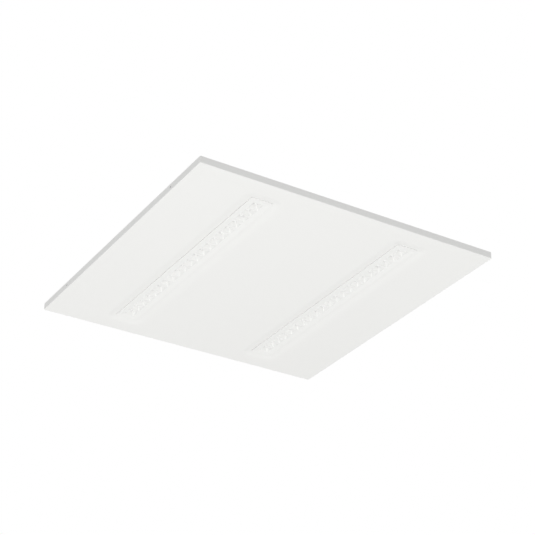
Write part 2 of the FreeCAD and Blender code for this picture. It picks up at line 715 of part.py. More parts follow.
def suspension_brackets():
    """Angle brackets with an eye for a suspension or safety wire, two on each housing."""
    brackets = []
    for side, sign in SIDES.items():
        strip = STRIP_OFFSET * sign
        for end, toward in ENDS.items():
            name = f"bracket_{side}_{end}"
            line = BRACKET_REACH * toward
            half = BRACKET_SIDE / 2
            foot = block(f"{name}_foot", around(strip, half), around(line, BRACKET_TAB / 2),
                         (ROOF_TOP, ROOF_TOP + BRACKET_SHEET))
            tab_x = (strip - half, strip - half + BRACKET_SHEET)
            tab = block(f"{name}_tab", tab_x, around(line, BRACKET_TAB / 2),
                        (ROOF_TOP, ROOF_TOP + BRACKET_SHEET + BRACKET_HEIGHT))
            eye_level = ROOF_TOP + BRACKET_SHEET + BRACKET_HEIGHT / 2
            eye = rod(f"{name}_eye", BRACKET_HOLE_RADIUS, (tab_x[0], line, eye_level), BRACKET_SHEET, "x")
            holes = [rod(f"{name}_rivet_hole_{label}", RIVET_RADIUS,
                         (strip + RIVET_SPACING / 2 * across, line, ROOF_TOP), BRACKET_SHEET)
                     for label, across in SIDES.items()]
            brackets.append(cut(name, fuse(f"{name}_blank", foot, tab), eye, *holes))
    return gather("suspension_brackets", *brackets)


def bracket_rivets():
    """Rivets with a head on the bracket and a shank through bracket and roof."""
    shank = (RIVET_RADIUS, BRACKET_SHEET + STEEL)
    head = (RIVET_HEAD_RADIUS, RIVET_HEAD_HEIGHT)
    rivets = []
    for side, sign in SIDES.items():
        for index, (x, y) in enumerate(rivet_places(sign), 1):
            rivets.append(screw(f"rivet_{side}_{index}", (x, y, ROOF_TOP + BRACKET_SHEET), shank, head))
    return gather("bracket_rivets", *rivets)


# ---------------------------------------------------------------------------------------------
# Hinges
# ---------------------------------------------------------------------------------------------

def ears(name, axis_x, axis_level, wall_x, foot_level, line, length, radius):
    """Two upright ears that carry a hinge pin, standing off a wall, one at each end of a barrel."""
    low_x, high_x = sorted((axis_x, wall_x), key=lambda place: place.value)
    made = []
    for end, toward in ENDS.items():
        middle = line + (length / 2 + EAR_GAP + EAR_SHEET / 2) * toward
        web = block(f"{name}_{end}_web", (low_x, high_x), around(middle, EAR_SHEET / 2), (foot_level, axis_level))
        disc = rod(f"{name}_{end}_disc", radius, (axis_x, middle - EAR_SHEET / 2, axis_level), EAR_SHEET, "y")
        made += [web, disc]
    return made


def pin_length(barrel_length):
    return barrel_length + (EAR_GAP + EAR_SHEET) * 2


def pin_between(name, axis_x, axis_level, line, length):
    """A pin along Y, or the hole for it, from the outside of one ear to the outside of the other."""
    full = pin_length(length)
    return rod(name, PIN_RADIUS, (axis_x, line - full / 2, axis_level), full, "y")


def barrel_and_bore(name, axis_x, axis_level, line, length):
    """A rolled barrel on a moving leaf, with the running bore to cut from it."""
    start = (axis_x, line - length / 2, axis_level)
    barrel = rod(f"{name}_barrel", BARREL_RADIUS, start, length, "y")
    bore = rod(f"{name}_bore", PIN_RADIUS + PIN_PLAY, start, length, "y")
    return barrel, bore


# ---------------------------------------------------------------------------------------------
# Gear tray and cover
# ---------------------------------------------------------------------------------------------

def thumb_places():
    return {end: THUMB_REACH * toward for end, toward in ENDS.items()}


def cover_hinge_places():
    return {end: COVER_HINGE_REACH * toward for end, toward in ENDS.items()}


def gear_tray():
    """The open steel box for driver and wiring, with the hinge ears and a closing flange."""
    across, along = TRAY_HALF
    shell = block("tray_shell", (-across, across), (-along, along), (FACE_BACK, TRAY_TOP))
    room = block("tray_room", (-across + STEEL, across - STEEL), (-along + STEEL, along - STEEL),
                 (TRAY_FLOOR, TRAY_TOP))
    flange = block("tray_flange", (across - TRAY_FLANGE, across - STEEL), (-along + STEEL, along - STEEL),
                   (TRAY_TOP - STEEL, TRAY_TOP))
    carried, holes = [], []
    for end, line in cover_hinge_places().items():
        carried += ears(f"cover_ear_{end}", COVER_AXIS_X, COVER_AXIS_LEVEL, -across,
                        COVER_AXIS_LEVEL - COVER_SKIRT, line, COVER_BARREL_LENGTH, BARREL_RADIUS)
        holes.append(pin_between(f"cover_pin_hole_{end}", COVER_AXIS_X, COVER_AXIS_LEVEL, line,
                                 COVER_BARREL_LENGTH))
    for end, line in thumb_places().items():
        holes.append(rod(f"thumb_exit_{end}", THUMB_SHANK_RADIUS + THUMB_EXIT_PLAY,
                         (THUMB_X, line, TRAY_TOP - STEEL), STEEL))
    for side, sign in SIDES.items():
        start = across * sign - (STEEL if sign == RIGHT else 0)
        holes.append(rod(f"tray_lead_hole_{side}", LEAD_GROMMET_RADIUS, (start, LEAD_LINE, LEAD_LEVEL),
                         STEEL, "x"))
    holes.append(rod("tray_inlet_hole", INLET_GROMMET_RADIUS, (0, -along, INLET_LEVEL), STEEL, "y"))
    walls = cut("tray_walls", shell, room)
    return cut("gear_tray", fuse("tray_folded", walls, flange, *carried), *holes)


def gear_cover():
    """The hinged lid: a flat top, a skirt on three sides and two rolled barrels on the fourth."""
    across, along = TRAY_HALF
    skin = STEEL
    reach = (across + COVER_GAP, along + COVER_GAP)
    hinge_edge = -across + BARREL_GAP
    top = block("cover_top", (hinge_edge, reach[0] + skin), (-reach[1] - skin, reach[1] + skin),
                (COVER_BOTTOM, COVER_TOP))
    drop = (COVER_TOP - COVER_SKIRT, COVER_TOP)
    pieces = [top, block("cover_skirt_right", (reach[0], reach[0] + skin), (-reach[1] - skin, reach[1] + skin),
                         drop)]
    for end, toward in ENDS.items():
        line = (reach[1] + skin / 2) * toward
        pieces.append(block(f"cover_skirt_{end}", (hinge_edge, reach[0] + skin), around(line, skin / 2), drop))
    holes = []
    for end, line in cover_hinge_places().items():
        barrel, bore = barrel_and_bore(f"cover_{end}", COVER_AXIS_X, COVER_AXIS_LEVEL, line, COVER_BARREL_LENGTH)
        leaf = block(f"cover_leaf_{end}", (COVER_AXIS_X, hinge_edge), around(line, COVER_BARREL_LENGTH / 2),
                     (COVER_BOTTOM, COVER_TOP))
        pieces += [barrel, leaf]
        holes.append(bore)
    for end, line in thumb_places().items():
        holes.append(rod(f"thumb_hole_{end}", THUMB_SHANK_RADIUS + PIN_PLAY, (THUMB_X, line, COVER_BOTTOM), skin))
    return cut("gear_cover", fuse("cover_folded", *pieces), *holes)


def cover_hinge_pins():
    return gather("cover_hinge_pins", *[
        pin_between(f"cover_pin_{end}", COVER_AXIS_X, COVER_AXIS_LEVEL, line, COVER_BARREL_LENGTH)
        for end, line in cover_hinge_places().items()])


def thumbscrew(end, line):
    """A captive screw turned by its round head, standing through the cover and the tray flange."""
    head, collar, shank = THUMB_HEAD_RADIUS, THUMB_COLLAR_RADIUS, THUMB_SHANK_RADIUS
    chamfer = STEEL
    top = THUMB_COLLAR_HEIGHT + THUMB_HEAD_HEIGHT
    points = [
        (0, -THUMB_SHANK_LENGTH), (shank - chamfer, -THUMB_SHANK_LENGTH),
        (shank, chamfer - THUMB_SHANK_LENGTH), (shank, 0), (collar, 0), (collar, THUMB_COLLAR_HEIGHT),
        (head, THUMB_COLLAR_HEIGHT), (head, top - chamfer), (head - chamfer, top), (0, top),
    ]
    return put(turned(f"cover_thumbscrew_{end}", points), (THUMB_X, line, COVER_TOP))


# ---------------------------------------------------------------------------------------------
# Driver
# ---------------------------------------------------------------------------------------------

def driver_tab_places():
    """Plan places of the driver's four fixing tabs, by side and end."""
    return [(side, sign, end, DRIVER_CENTRE + DRIVER_TAB_OFFSET * toward)
            for side, sign in SIDES.items() for end, toward in ENDS.items()]


def driver_tab_line(sign):
    return (DRIVER_WIDTH / 2 + DRIVER_TAB_REACH / 2) * sign


def driver_case():
    """A closed moulded case with rounded long edges and four fixing tabs."""
    case = body("driver_can")
    half = DRIVER_WIDTH / 2
    can = shape_block(feature(case, "AdditiveBox", "driver_can_block"), (-half, half),
                      (DRIVER_FRONT, DRIVER_REAR), (TRAY_FLOOR, DRIVER_TOP))
    DOC.recompute()
    names = edges_where(can.Shape, lambda box: box.YLength > 1 and box.ZLength < 1 and box.XLength < 1)
    fillet = feature(case, "Fillet", "driver_can_edges")
    fillet.Base = (can, names)
    bind(fillet, "Radius", DRIVER_EDGE)
    tabs, holes = [], []
    for side, sign, end, line in driver_tab_places():
        middle = driver_tab_line(sign)
        inner = DRIVER_EDGE
        span = [middle - DRIVER_TAB_REACH / 2, middle + DRIVER_TAB_REACH / 2]
        if sign == RIGHT:
            span[0] = span[0] - inner
        else:
            span[1] = span[1] + inner
        tabs.append(block(f"driver_tab_{side}_{end}", span, around(line, DRIVER_TAB_LENGTH / 2),
                          (TRAY_FLOOR, TRAY_FLOOR + STEEL)))
        holes.append(rod(f"driver_tab_hole_{side}_{end}", BIG_SCREW_RADIUS, (middle, line, TRAY_FLOOR), STEEL))
    return cut("driver_case", fuse("driver_case_blank", case, *tabs), *holes)


def driver_terminal(name, ends):
    """One terminal of the driver, on an end of its case."""
    return block(name, around(0, DRIVER_TERMINAL_WIDTH / 2), ends, (TRAY_FLOOR, TRAY_FLOOR + DRIVER_TERMINAL_HEIGHT))


def driver_screws():
    head = (BIG_HEAD_RADIUS, BIG_HEAD_HEIGHT)
    return gather("driver_screws", *[
        screw(f"driver_screw_{side}_{end}", (driver_tab_line(sign), line, TRAY_FLOOR + STEEL),
              (BIG_SCREW_RADIUS, STEEL), head) for side, sign, end, line in driver_tab_places()])


# ---------------------------------------------------------------------------------------------
# Mains terminal block
# ---------------------------------------------------------------------------------------------

def pole_line(index):
    return POLE_PITCH * (index - (len(POLES) - 1) / 2)


def lever_slot(pole, line):
    """The slot in the block's top that one lever lies in and swings out of."""
    half = LEVER_WIDTH / 2 + LEVER_SIDE_GAP
    return block(f"slot_{pole}", around(line, half),
                 (LEVER_AXIS_Y - LEVER_LENGTH - LEVER_ROOM, LEVER_AXIS_Y + LEVER_BARREL_RADIUS + LEVER_ROOM),
                 (LEVER_AXIS_LEVEL - LEVER_BARREL_RADIUS - LEVER_ROOM, BLOCK_TOP))


def terminal_block():
    """A moulded block with a lever slot and a wire entry for each pole."""
    blank = block("block_blank", around(0, BLOCK_HALF), (-BLOCK_FRONT, BLOCK_REAR), (TRAY_FLOOR, BLOCK_TOP))
    holes = [rod("block_pin_hole", LEVER_PIN_RADIUS, (-BLOCK_HALF, LEVER_AXIS_Y, LEVER_AXIS_LEVEL),
                 BLOCK_HALF * 2, "x")]
    for index, pole in enumerate(POLES):
        line = pole_line(index)
        holes.append(lever_slot(pole, line))
        holes.append(rod(f"entry_{pole}", ENTRY_RADIUS, (line, -BLOCK_FRONT, WIRE_LEVEL), ENTRY_DEPTH, "y"))
    return cut("terminal_block", blank, *holes)


def terminal_lever(index, pole):
    """A clamping lever: an arm with a round heel bored for the common pin."""
    name = f"terminal_lever_{pole}"
    line = pole_line(index)
    half = LEVER_WIDTH / 2
    arm = block(f"{name}_arm", around(line, half), (LEVER_AXIS_Y - LEVER_LENGTH, LEVER_AXIS_Y),
                (LEVER_AXIS_LEVEL - LEVER_THICKNESS / 2, LEVER_AXIS_LEVEL + LEVER_THICKNESS / 2))
    start = (line - half, LEVER_AXIS_Y, LEVER_AXIS_LEVEL)
    heel = rod(f"{name}_heel", LEVER_BARREL_RADIUS, start, LEVER_WIDTH, "x")
    bore = rod(f"{name}_bore", LEVER_PIN_RADIUS + PIN_PLAY, start, LEVER_WIDTH, "x")
    return cut(name, fuse(f"{name}_blank", arm, heel), bore)


def lever_pin():
    return rod("lever_pin", LEVER_PIN_RADIUS, (-BLOCK_HALF, LEVER_AXIS_Y, LEVER_AXIS_LEVEL), BLOCK_HALF * 2, "x")


# ---------------------------------------------------------------------------------------------
# Wires, leads and cable entry
# ---------------------------------------------------------------------------------------------

def straight_wire(name, index):
    """A wire from the terminal block straight to the driver's input terminal."""
    return rod(name, WIRE_RADIUS, (pole_line(index), BLOCK_REAR, WIRE_LEVEL), DRIVER_INPUT_END - BLOCK_REAR, "y")


def bent_run(name, radius, bend, start, corner_y, end_x, level):
    """A tube along Y from a start, round one bend, then along X; start is its plan place."""
    x, y = start
    toward = RIGHT if end_x.value > x.value else LEFT
    first = rod(f"{name}_first", radius, (x, y, level), corner_y - bend - y, "y")
    centre = (x + bend * toward, corner_y - bend, level)
    ring = quarter_bend(f"{name}_bend", radius, bend, centre, 90 if toward == RIGHT else 0)
    low, high = (x + bend, end_x) if toward == RIGHT else (end_x, x - bend)
    second = rod(f"{name}_second", radius, (low, corner_y, level), high - low, "x")
    return fuse(name, first, ring, second)


def wire_earth():
    """The earth wire, from the block round one bend to a ring lug on the earth post."""
    line = Size.of(pole_line(len(POLES) - 1))
    x, y = earth_place()
    lug_start = x - EARTH_POST_RADIUS - WIRE_RADIUS
    wire = bent_run("earth_run", WIRE_RADIUS, WIRE_BEND, (line, BLOCK_REAR), y, lug_start, WIRE_LEVEL)
    levels = around(WIRE_LEVEL, LUG_THICKNESS / 2)
    tongue = block("earth_tongue", (lug_start - WIRE_RADIUS, x), around(y, WIRE_RADIUS), levels)
    ring = rod("earth_lug", EARTH_POST_RADIUS, (x, y, levels[0]), LUG_THICKNESS)
    hole = rod("earth_lug_hole", BIG_SCREW_RADIUS, (x, y, levels[0]), LUG_THICKNESS)
    return cut("wire_earth", fuse("wire_earth_blank", wire, tongue, ring), hole)


def earth_place():
    return EARTH_REACH, BLOCK_REAR + WIRE_BEND + BLOCK_CHEEK


def earth_post():
    """A post on the tray's floor, bored for the earth screw, that the ring lug rests on."""
    x, y = earth_place()
    tall = WIRE_LEVEL - LUG_THICKNESS / 2 - TRAY_FLOOR
    post = rod("earth_post_blank", EARTH_POST_RADIUS, (x, y, TRAY_FLOOR), tall)
    bore = rod("earth_post_bore", BIG_SCREW_RADIUS, (x, y, TRAY_FLOOR + STEEL), tall)
    return cut("earth_post", post, bore)


def earth_screw():
    x, y = earth_place()
    seat = WIRE_LEVEL + LUG_THICKNESS / 2
    return screw("earth_screw", (x, y, seat), (BIG_SCREW_RADIUS, seat - TRAY_FLOOR - STEEL),
                 (BIG_HEAD_RADIUS, BIG_HEAD_HEIGHT))


def output_lead(side, sign):
    """A round lead from the driver's output terminal to the plug under the rear board."""
    return bent_run(f"output_lead_{side}", LEAD_RADIUS, LEAD_BEND, (LEAD_SPACING / 2 * sign, DRIVER_OUTPUT_END),
                    LEAD_LINE, PLUG_OUTER * sign, LEAD_LEVEL)


def lead_plug(side, sign):
    """The plug that hangs under the board's edge and takes the lead."""
    ends = sorted((PLUG_OUTER * sign, (PLUG_OUTER + PLUG_LENGTH) * sign), key=lambda place: place.value)
    return block(f"lead_plug_{side}", ends, around(LEAD_LINE, PLUG_WIDTH / 2),
                 (LEAD_LEVEL - LEAD_RADIUS, BOARD_BOTTOM))


def grommet(name, bore, hole, place, axis):
    """A rubber grommet with a lip on each side of a steel wall, its middle at a place."""
    wall, lip, flange = STEEL / 2, STEEL / 2 + GROMMET_FLANGE, hole + GROMMET_LIP
    points = [(bore, -lip), (flange, -lip), (flange, -wall), (hole, -wall), (hole, wall), (flange, wall),
              (flange, lip), (bore, lip)]
    owner = turned(name, points)
    owner.Placement = Placement(Vector(), TURNS[axis])
    return put(owner, place)


def lead_grommets():
    """A grommet where each lead leaves the tray and enters its housing."""
    housing_wall = STRIP_OFFSET - HOUSING_HALF[0] - STEEL / 2
    walls = {"tray": TRAY_HALF[0] - STEEL / 2, "housing": housing_wall}
    return gather("lead_grommets", *[
        grommet(f"lead_grommet_{wall}_{side}", LEAD_RADIUS, LEAD_GROMMET_RADIUS,
                (place * sign, LEAD_LINE, LEAD_LEVEL), "x")
        for wall, place in walls.items() for side, sign in SIDES.items()])


def inlet_grommet():
    return grommet("inlet_grommet", INLET_RADIUS, INLET_GROMMET_RADIUS,
                   (0, -TRAY_HALF[1] + STEEL / 2, INLET_LEVEL), "y")


def clamp_span():
    return around(-CLAMP_REACH, CLAMP_LENGTH / 2)


def clamp_screw_lines():
    return {side: CLAMP_SCREW_SPACING / 2 * sign for side, sign in SIDES.items()}


def cable_clamp():
    """Saddle and bar, both bored for the two screws that draw them together."""
    made = []
    bar_top = CLAMP_BAR_BOTTOM + CLAMP_BAR_THICKNESS
    spans = {"cable_clamp_base": (TRAY_FLOOR, CLAMP_SADDLE), "cable_clamp_bar": (CLAMP_BAR_BOTTOM, bar_top)}
    for name, levels in spans.items():
        blank = block(f"{name}_blank", around(0, CLAMP_WIDTH / 2), clamp_span(), levels)
        low = levels[0] + (STEEL if name == "cable_clamp_base" else 0)
        holes = [rod(f"{name}_hole_{side}", BIG_SCREW_RADIUS, (line, -CLAMP_REACH, low), levels[1] - low)
                 for side, line in clamp_screw_lines().items()]
        made.append(cut(name, blank, *holes))
    return made


def clamp_screws():
    seat = CLAMP_BAR_BOTTOM + CLAMP_BAR_THICKNESS
    return gather("clamp_screws", *[
        screw(f"clamp_screw_{side}", (line, -CLAMP_REACH, seat),
              (BIG_SCREW_RADIUS, seat - TRAY_FLOOR - STEEL), (BIG_HEAD_RADIUS, BIG_HEAD_HEIGHT))
        for side, line in clamp_screw_lines().items()])


# ---------------------------------------------------------------------------------------------
# Grid clips
# ---------------------------------------------------------------------------------------------

def corners():
    """The four clip places, by name, with the side and the end they stand at."""
    return [(f"{end}_{side}", sign, toward) for end, toward in ENDS.items() for side, sign in SIDES.items()]


def clip_bracket(corner, sign, toward):
    """A plate on the inside of the rim with two ears for the clip's pin."""
    name = f"clip_bracket_{corner}"
    line = RIM_HOLE_REACH * toward
    half = pin_length(CLIP_WIDTH) / 2
    wall = PANEL_HALF - STEEL
    plate_x = sorted((wall * sign, (wall - CLIP_BACK_SHEET) * sign), key=lambda place: place.value)
    plate = block(f"{name}_plate", plate_x, around(line, half), (CLIP_BACK_FOOT, CLIP_AXIS_HEIGHT))
    webs = ears(f"{name}_ear", CLIP_AXIS_X * sign, CLIP_AXIS_HEIGHT, (wall - CLIP_BACK_SHEET) * sign,
                CLIP_AXIS_HEIGHT - BARREL_RADIUS * 2, line, CLIP_WIDTH, BARREL_RADIUS)
    hole = rod(f"{name}_hole", RIM_HOLE_RADIUS, (plate_x[0], line, RIM_HOLE_HEIGHT), CLIP_BACK_SHEET, "x")
    pin = pin_between(f"{name}_pin_hole", CLIP_AXIS_X * sign, CLIP_AXIS_HEIGHT, line, CLIP_WIDTH)
    return cut(name, fuse(f"{name}_blank", plate, *webs), hole, pin)


def grid_clip(corner, sign, toward):
    """The folding leaf: a plate with a screw hole and a rolled barrel on the pin."""
    name = f"grid_clip_{corner}"
    line = RIM_HOLE_REACH * toward
    axis = CLIP_AXIS_X * sign
    barrel, bore = barrel_and_bore(name, axis, CLIP_AXIS_HEIGHT, line, CLIP_WIDTH)
    tip = (CLIP_AXIS_X - CLIP_LENGTH) * sign
    leaf = block(f"{name}_leaf", sorted((axis, tip), key=lambda place: place.value),
                 around(line, CLIP_WIDTH / 2), around(CLIP_AXIS_HEIGHT, CLIP_SHEET / 2))
    hole_x = (CLIP_AXIS_X - CLIP_LENGTH + CLIP_HOLE_INSET) * sign
    hole = rod(f"{name}_hole", CLIP_HOLE_RADIUS, (hole_x, line, CLIP_AXIS_HEIGHT - CLIP_SHEET / 2), CLIP_SHEET)
    return cut(name, fuse(f"{name}_blank", leaf, barrel), bore, hole)


def clip_pins():
    return gather("clip_pins", *[
        pin_between(f"clip_pin_{corner}", CLIP_AXIS_X * sign, CLIP_AXIS_HEIGHT, RIM_HOLE_REACH * toward,
                    CLIP_WIDTH) for corner, sign, toward in corners()])


# ---------------------------------------------------------------------------------------------
# The whole light
# ---------------------------------------------------------------------------------------------

def all_parts():
    """Every named piece of the light."""
    parts = [face_panel()]
    for side, sign in SIDES.items():
        parts += [optic_housing(side, sign), louvre(side, sign), lens_bar(side, sign), diodes(side, sign)]
        parts += led_boards(side, sign)
        parts += [output_lead(side, sign), lead_plug(side, sign)]
    parts += [board_screws(), board_links(), suspension_brackets(), bracket_rivets()]
    parts += [stiffener(end, toward) for end, toward in ENDS.items()]
    parts += [gear_tray(), gear_cover(), cover_hinge_pins()]
    parts += [thumbscrew(end, line) for end, line in thumb_places().items()]
    parts += [driver_case(), driver_screws()]
    parts.append(driver_terminal("driver_input_terminal", (DRIVER_INPUT_END, DRIVER_FRONT)))
    parts.append(driver_terminal("driver_output_terminal", (DRIVER_REAR, DRIVER_OUTPUT_END)))
    parts += [terminal_block(), lever_pin()]
    parts += [terminal_lever(index, pole) for index, pole in enumerate(POLES)]
    parts += [straight_wire("wire_live", 0), straight_wire("wire_neutral", 1), wire_earth()]
    parts += [earth_post(), earth_screw(), lead_grommets(), inlet_grommet(), *cable_clamp(), clamp_screws()]
    parts.append(gather("clip_brackets", *[clip_bracket(*corner) for corner in corners()]))
    parts.append(clip_pins())
    parts += [grid_clip(*corner) for corner in corners()]
    return parts


def check(parts):
    """Stop on any object that failed, and on any part without a sound shape."""
    for item in DOC.Objects:
        if {"Invalid", "Error"} & set(item.State):
            raise RuntimeError(f"{item.Name} failed: {item.State}")
    for part in parts:
        if part.Shape.isNull() or not part.Shape.isValid() or not part.Shape.Solids:
            raise RuntimeError(f"{part.Label} has no sound shape")


def main():
    """Build every part, check it and write one STEP file for each."""
    parts = all_parts()
    DOC.recompute()
    check(parts)
    os.makedirs("parts", exist_ok=True)
    for part in parts:
        part.Shape.exportStep(f"parts/{part.Label}.step")
        print(f"{part.Label}: {len(part.Shape.Solids)} solids, {part.Shape.Volume:.0f} mm3")
    print(f"{len(parts)} parts")


main()
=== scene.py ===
"""Looks of a square recessed troffer light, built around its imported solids.

The light hangs in the frame as it hangs in a ceiling: its visible face looks down at z = 0, and its
two louvre strips run along Y. Sizes in the classes are millimetres, and meshes are made in metres.
"""

import logging
import math
from dataclasses import dataclass, field
from enum import Enum
from typing import Iterable, Mapping, Sequence

import bmesh
import bpy
from mathutils import Matrix, Vector


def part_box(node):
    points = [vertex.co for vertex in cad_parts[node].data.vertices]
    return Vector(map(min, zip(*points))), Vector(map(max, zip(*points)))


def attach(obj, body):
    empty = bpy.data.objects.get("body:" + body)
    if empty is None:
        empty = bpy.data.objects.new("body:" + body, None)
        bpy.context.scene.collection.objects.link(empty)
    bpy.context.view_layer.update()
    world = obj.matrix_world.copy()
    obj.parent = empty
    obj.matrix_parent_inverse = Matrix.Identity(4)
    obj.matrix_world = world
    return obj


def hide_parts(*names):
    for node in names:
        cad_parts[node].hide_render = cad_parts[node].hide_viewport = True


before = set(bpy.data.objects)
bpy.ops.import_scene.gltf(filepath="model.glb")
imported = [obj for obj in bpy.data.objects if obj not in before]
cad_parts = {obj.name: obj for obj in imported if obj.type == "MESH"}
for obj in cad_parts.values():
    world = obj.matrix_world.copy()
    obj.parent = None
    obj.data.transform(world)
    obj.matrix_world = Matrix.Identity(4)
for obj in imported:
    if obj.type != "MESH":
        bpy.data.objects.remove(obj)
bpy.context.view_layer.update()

MM = 0.001
LOG = logging.getLogger("troffer")
SIDES = {"left": -1, "right": 1}
ENDS = {"front": -1, "rear": 1}
Point = tuple[float, float, float]
Plan = tuple[float, float]
Colour = tuple[float, float, float, float]
Loop = list[bmesh.types.BMVert]

# Sizes that more than one sub-assembly goes by.
STRIP_OFFSET = 149.5
OPENING: Plan = (21.0, 247.5)
OPENING_CORNER = 4.0
LIP_TOP = 7.0
WIRE_LEVEL = 7.6


# ---------------------------------------------------------------------------------------------
# Shader expressions
# ---------------------------------------------------------------------------------------------

class Value:
    """A shader socket in an expression. Each operator adds the Math node that works it out."""

    def __init__(self, graph: "Graph", socket: bpy.types.NodeSocket) -> None:
        """Wrap one output socket of a graph."""
        self.graph = graph
        self.socket = socket

    def maths(self, operation: str, first: "Value | float", second: "Value | float" = 0.0) -> "Value":
        """Add a Math node.

        Args:
            operation: the node's operation.
            first: its first number.
            second: its second number.

        Returns:
            The node's result.
        """
        return self.graph.value("ShaderNodeMath", {"operation": operation}, {0: first, 1: second})

    def __add__(self, other: "Value | float") -> "Value":
        """The sum."""
        return self.maths("ADD", self, other)

    def __sub__(self, other: "Value | float") -> "Value":
        """The difference."""
        return self.maths("SUBTRACT", self, other)

    def __rsub__(self, other: float) -> "Value":
        """The difference, from a plain number."""
        return self.maths("SUBTRACT", other, self)

    def __mul__(self, other: "Value | float") -> "Value":
        """The product."""
        return self.maths("MULTIPLY", self, other)

    def __abs__(self) -> "Value":
        """The size without its sign."""
        return self.maths("ABSOLUTE", self)

    def __lt__(self, other: "Value | float") -> "Value":
        """One where this is less than the other, and nought elsewhere."""
        return self.maths("LESS_THAN", self, other)

    __radd__ = __add__
    __rmul__ = __mul__

    def stretched(self, low: float, high: float) -> "Value":
        """Spread the numbers of a stretch over nought to one, with soft ends.

        Args:
            low: what becomes nought, with all below it.
            high: what becomes one, with all above it.

        Returns:
            The spread numbers.
        """
        settings = {"interpolation_type": "SMOOTHSTEP"}
        inputs = {"Value": self, "From Min": low, "From Max": high}
        return self.graph.value("ShaderNodeMapRange", settings, inputs, "Result")


class Tint(Value):
    """A colour socket in an expression. It goes through Mix nodes, which keep its colour."""

    def mixed(self, other: "Tint | Colour", factor: "Value | float") -> "Tint":
        """Mix this colour with another.

        Args:
            other: the other colour.
            factor: how much of the other shows, from nought to one.

        Returns:
            The mixed colour.
        """
        return self.graph.mix(self, other, factor)

    def __mul__(self, other: "Value | float") -> "Tint":
        """The colour made brighter or darker by a number that may vary."""
        return self.graph.toned(self, other)

    __rmul__ = __mul__


class Track(Value):
    """A vector socket in an expression. It goes through Vector Math nodes."""

    def __mul__(self, other: tuple[float, float, float]) -> "Track":
        """The vector with each part multiplied."""
        made = self.graph.node("ShaderNodeVectorMath", {"operation": "MULTIPLY"}, {0: self, 1: other})
        return Track(self.graph, made.outputs["Vector"])

    def length(self) -> Value:
        """The vector's length."""
        made = self.graph.node("ShaderNodeVectorMath", {"operation": "LENGTH"}, {0: self})
        return Value(self.graph, made.outputs["Value"])

    def part(self, axis: str) -> Value:
        """One part of the vector, by the name of its axis."""
        made = self.graph.node("ShaderNodeSeparateXYZ", {}, {0: self})
        return Value(self.graph, made.outputs[axis])


class Graph:
    """The node tree of one material or world under construction."""

    def __init__(self, owner: bpy.types.Material | bpy.types.World) -> None:
        """Empty the owner's node tree.

        Args:
            owner: the material or world.
        """
        owner.use_nodes = True
        self.tree = owner.node_tree
        self.tree.nodes.clear()

    def node(self, kind: str, settings: Mapping[str, object],
             inputs: Mapping[object, object]) -> bpy.types.Node:
        """Add one node.

        Args:
            kind: the node's type.
            settings: its settings, set first.
            inputs: the values or links of its sockets.

        Returns:
            The node.
        """
        made = self.tree.nodes.new(kind)
        for name, setting in settings.items():
            setattr(made, name, setting)
        for key, feed in inputs.items():
            if isinstance(feed, Value):
                self.tree.links.new(feed.socket, made.inputs[key])
            else:
                made.inputs[key].default_value = feed
        return made

    def value(self, kind: str, settings: Mapping[str, object], inputs: Mapping[object, object],
              output: str = "Value") -> Value:
        """Add one node and wrap the number it gives."""
        return Value(self, self.node(kind, settings, inputs).outputs[output])

    def mix(self, first: Tint | Colour, second: Tint | Colour, factor: Value | float,
            blend: str = "MIX") -> Tint:
        """Mix two colours.

        Args:
            first: the colour at factor nought.
            second: the colour at factor one.
            factor: how much of the second shows.
            blend: the way they are mixed.

        Returns:
            The mixed colour.
        """
        made = self.node("ShaderNodeMix", {"data_type": "RGBA", "blend_type": blend, "clamp_factor": True},
                         {0: factor, 6: first, 7: second})
        return Tint(self, made.outputs[2])

    def toned(self, colour: Tint | Colour, tone: Value | float) -> Tint:
        """Multiply a colour by a number that may vary.

        Args:
            colour: the colour.
            tone: the number.

        Returns:
            The brighter or darker colour.
        """
        grey = self.node("ShaderNodeCombineColor", {}, {"Red": tone, "Green": tone, "Blue": tone})
        return self.mix(colour, Tint(self, grey.outputs["Color"]), 1.0, "MULTIPLY")

    def place(self) -> Track:
        """Where the shaded point is on its piece, in metres."""
        return Track(self, self.node("ShaderNodeTexCoord", {}, {}).outputs["Object"])

    def noise(self, place: Track, size: float, detail: float = 2.0, distortion: float = 0.0) -> Value:
        """Cloudy noise.

        Args:
            place: where it is read.
            size: the size of its clouds in millimetres.
            detail: how many finer layers it has.
            distortion: how much the clouds are bent.

        Returns:
            The noise, about a half.
        """
        inputs = {"Vector": place, "Scale": 1 / (size * MM), "Detail": detail, "Distortion": distortion}
        return self.value("ShaderNodeTexNoise", {}, inputs, "Fac")

    def flakes(self, place: Track, size: float) -> Value:
        """A number for each cell of a crystal pattern of a size in millimetres."""
        made = self.node("ShaderNodeTexVoronoi", {}, {"Vector": place, "Scale": 1 / (size * MM)})
        return self.value("ShaderNodeSeparateColor", {}, {0: Tint(self, made.outputs["Color"])}, "Red")

    def relief(self, height: Value, depth: float, strength: float = 1.0) -> Value:
        """A normal from a height.

        Args:
            height: the height, where one is the full depth.
            depth: the depth in millimetres.
            strength: how much of it shows.

        Returns:
            The normal.
        """
        inputs = {"Strength": strength, "Distance": depth * MM, "Height": height}
        return self.value("ShaderNodeBump", {}, inputs, "Normal")

    def surface(self, inputs: Mapping[str, object]) -> None:
        """Add the surface shader and join it to the material's output."""
        self.output(self.node("ShaderNodeBsdfPrincipled", {}, inputs))

    def output(self, shader: bpy.types.Node, kind: str = "ShaderNodeOutputMaterial") -> None:
        """Join a shader to the tree's output."""
        end = self.node(kind, {}, {})
        self.tree.links.new(shader.outputs[0], end.inputs["Surface"])


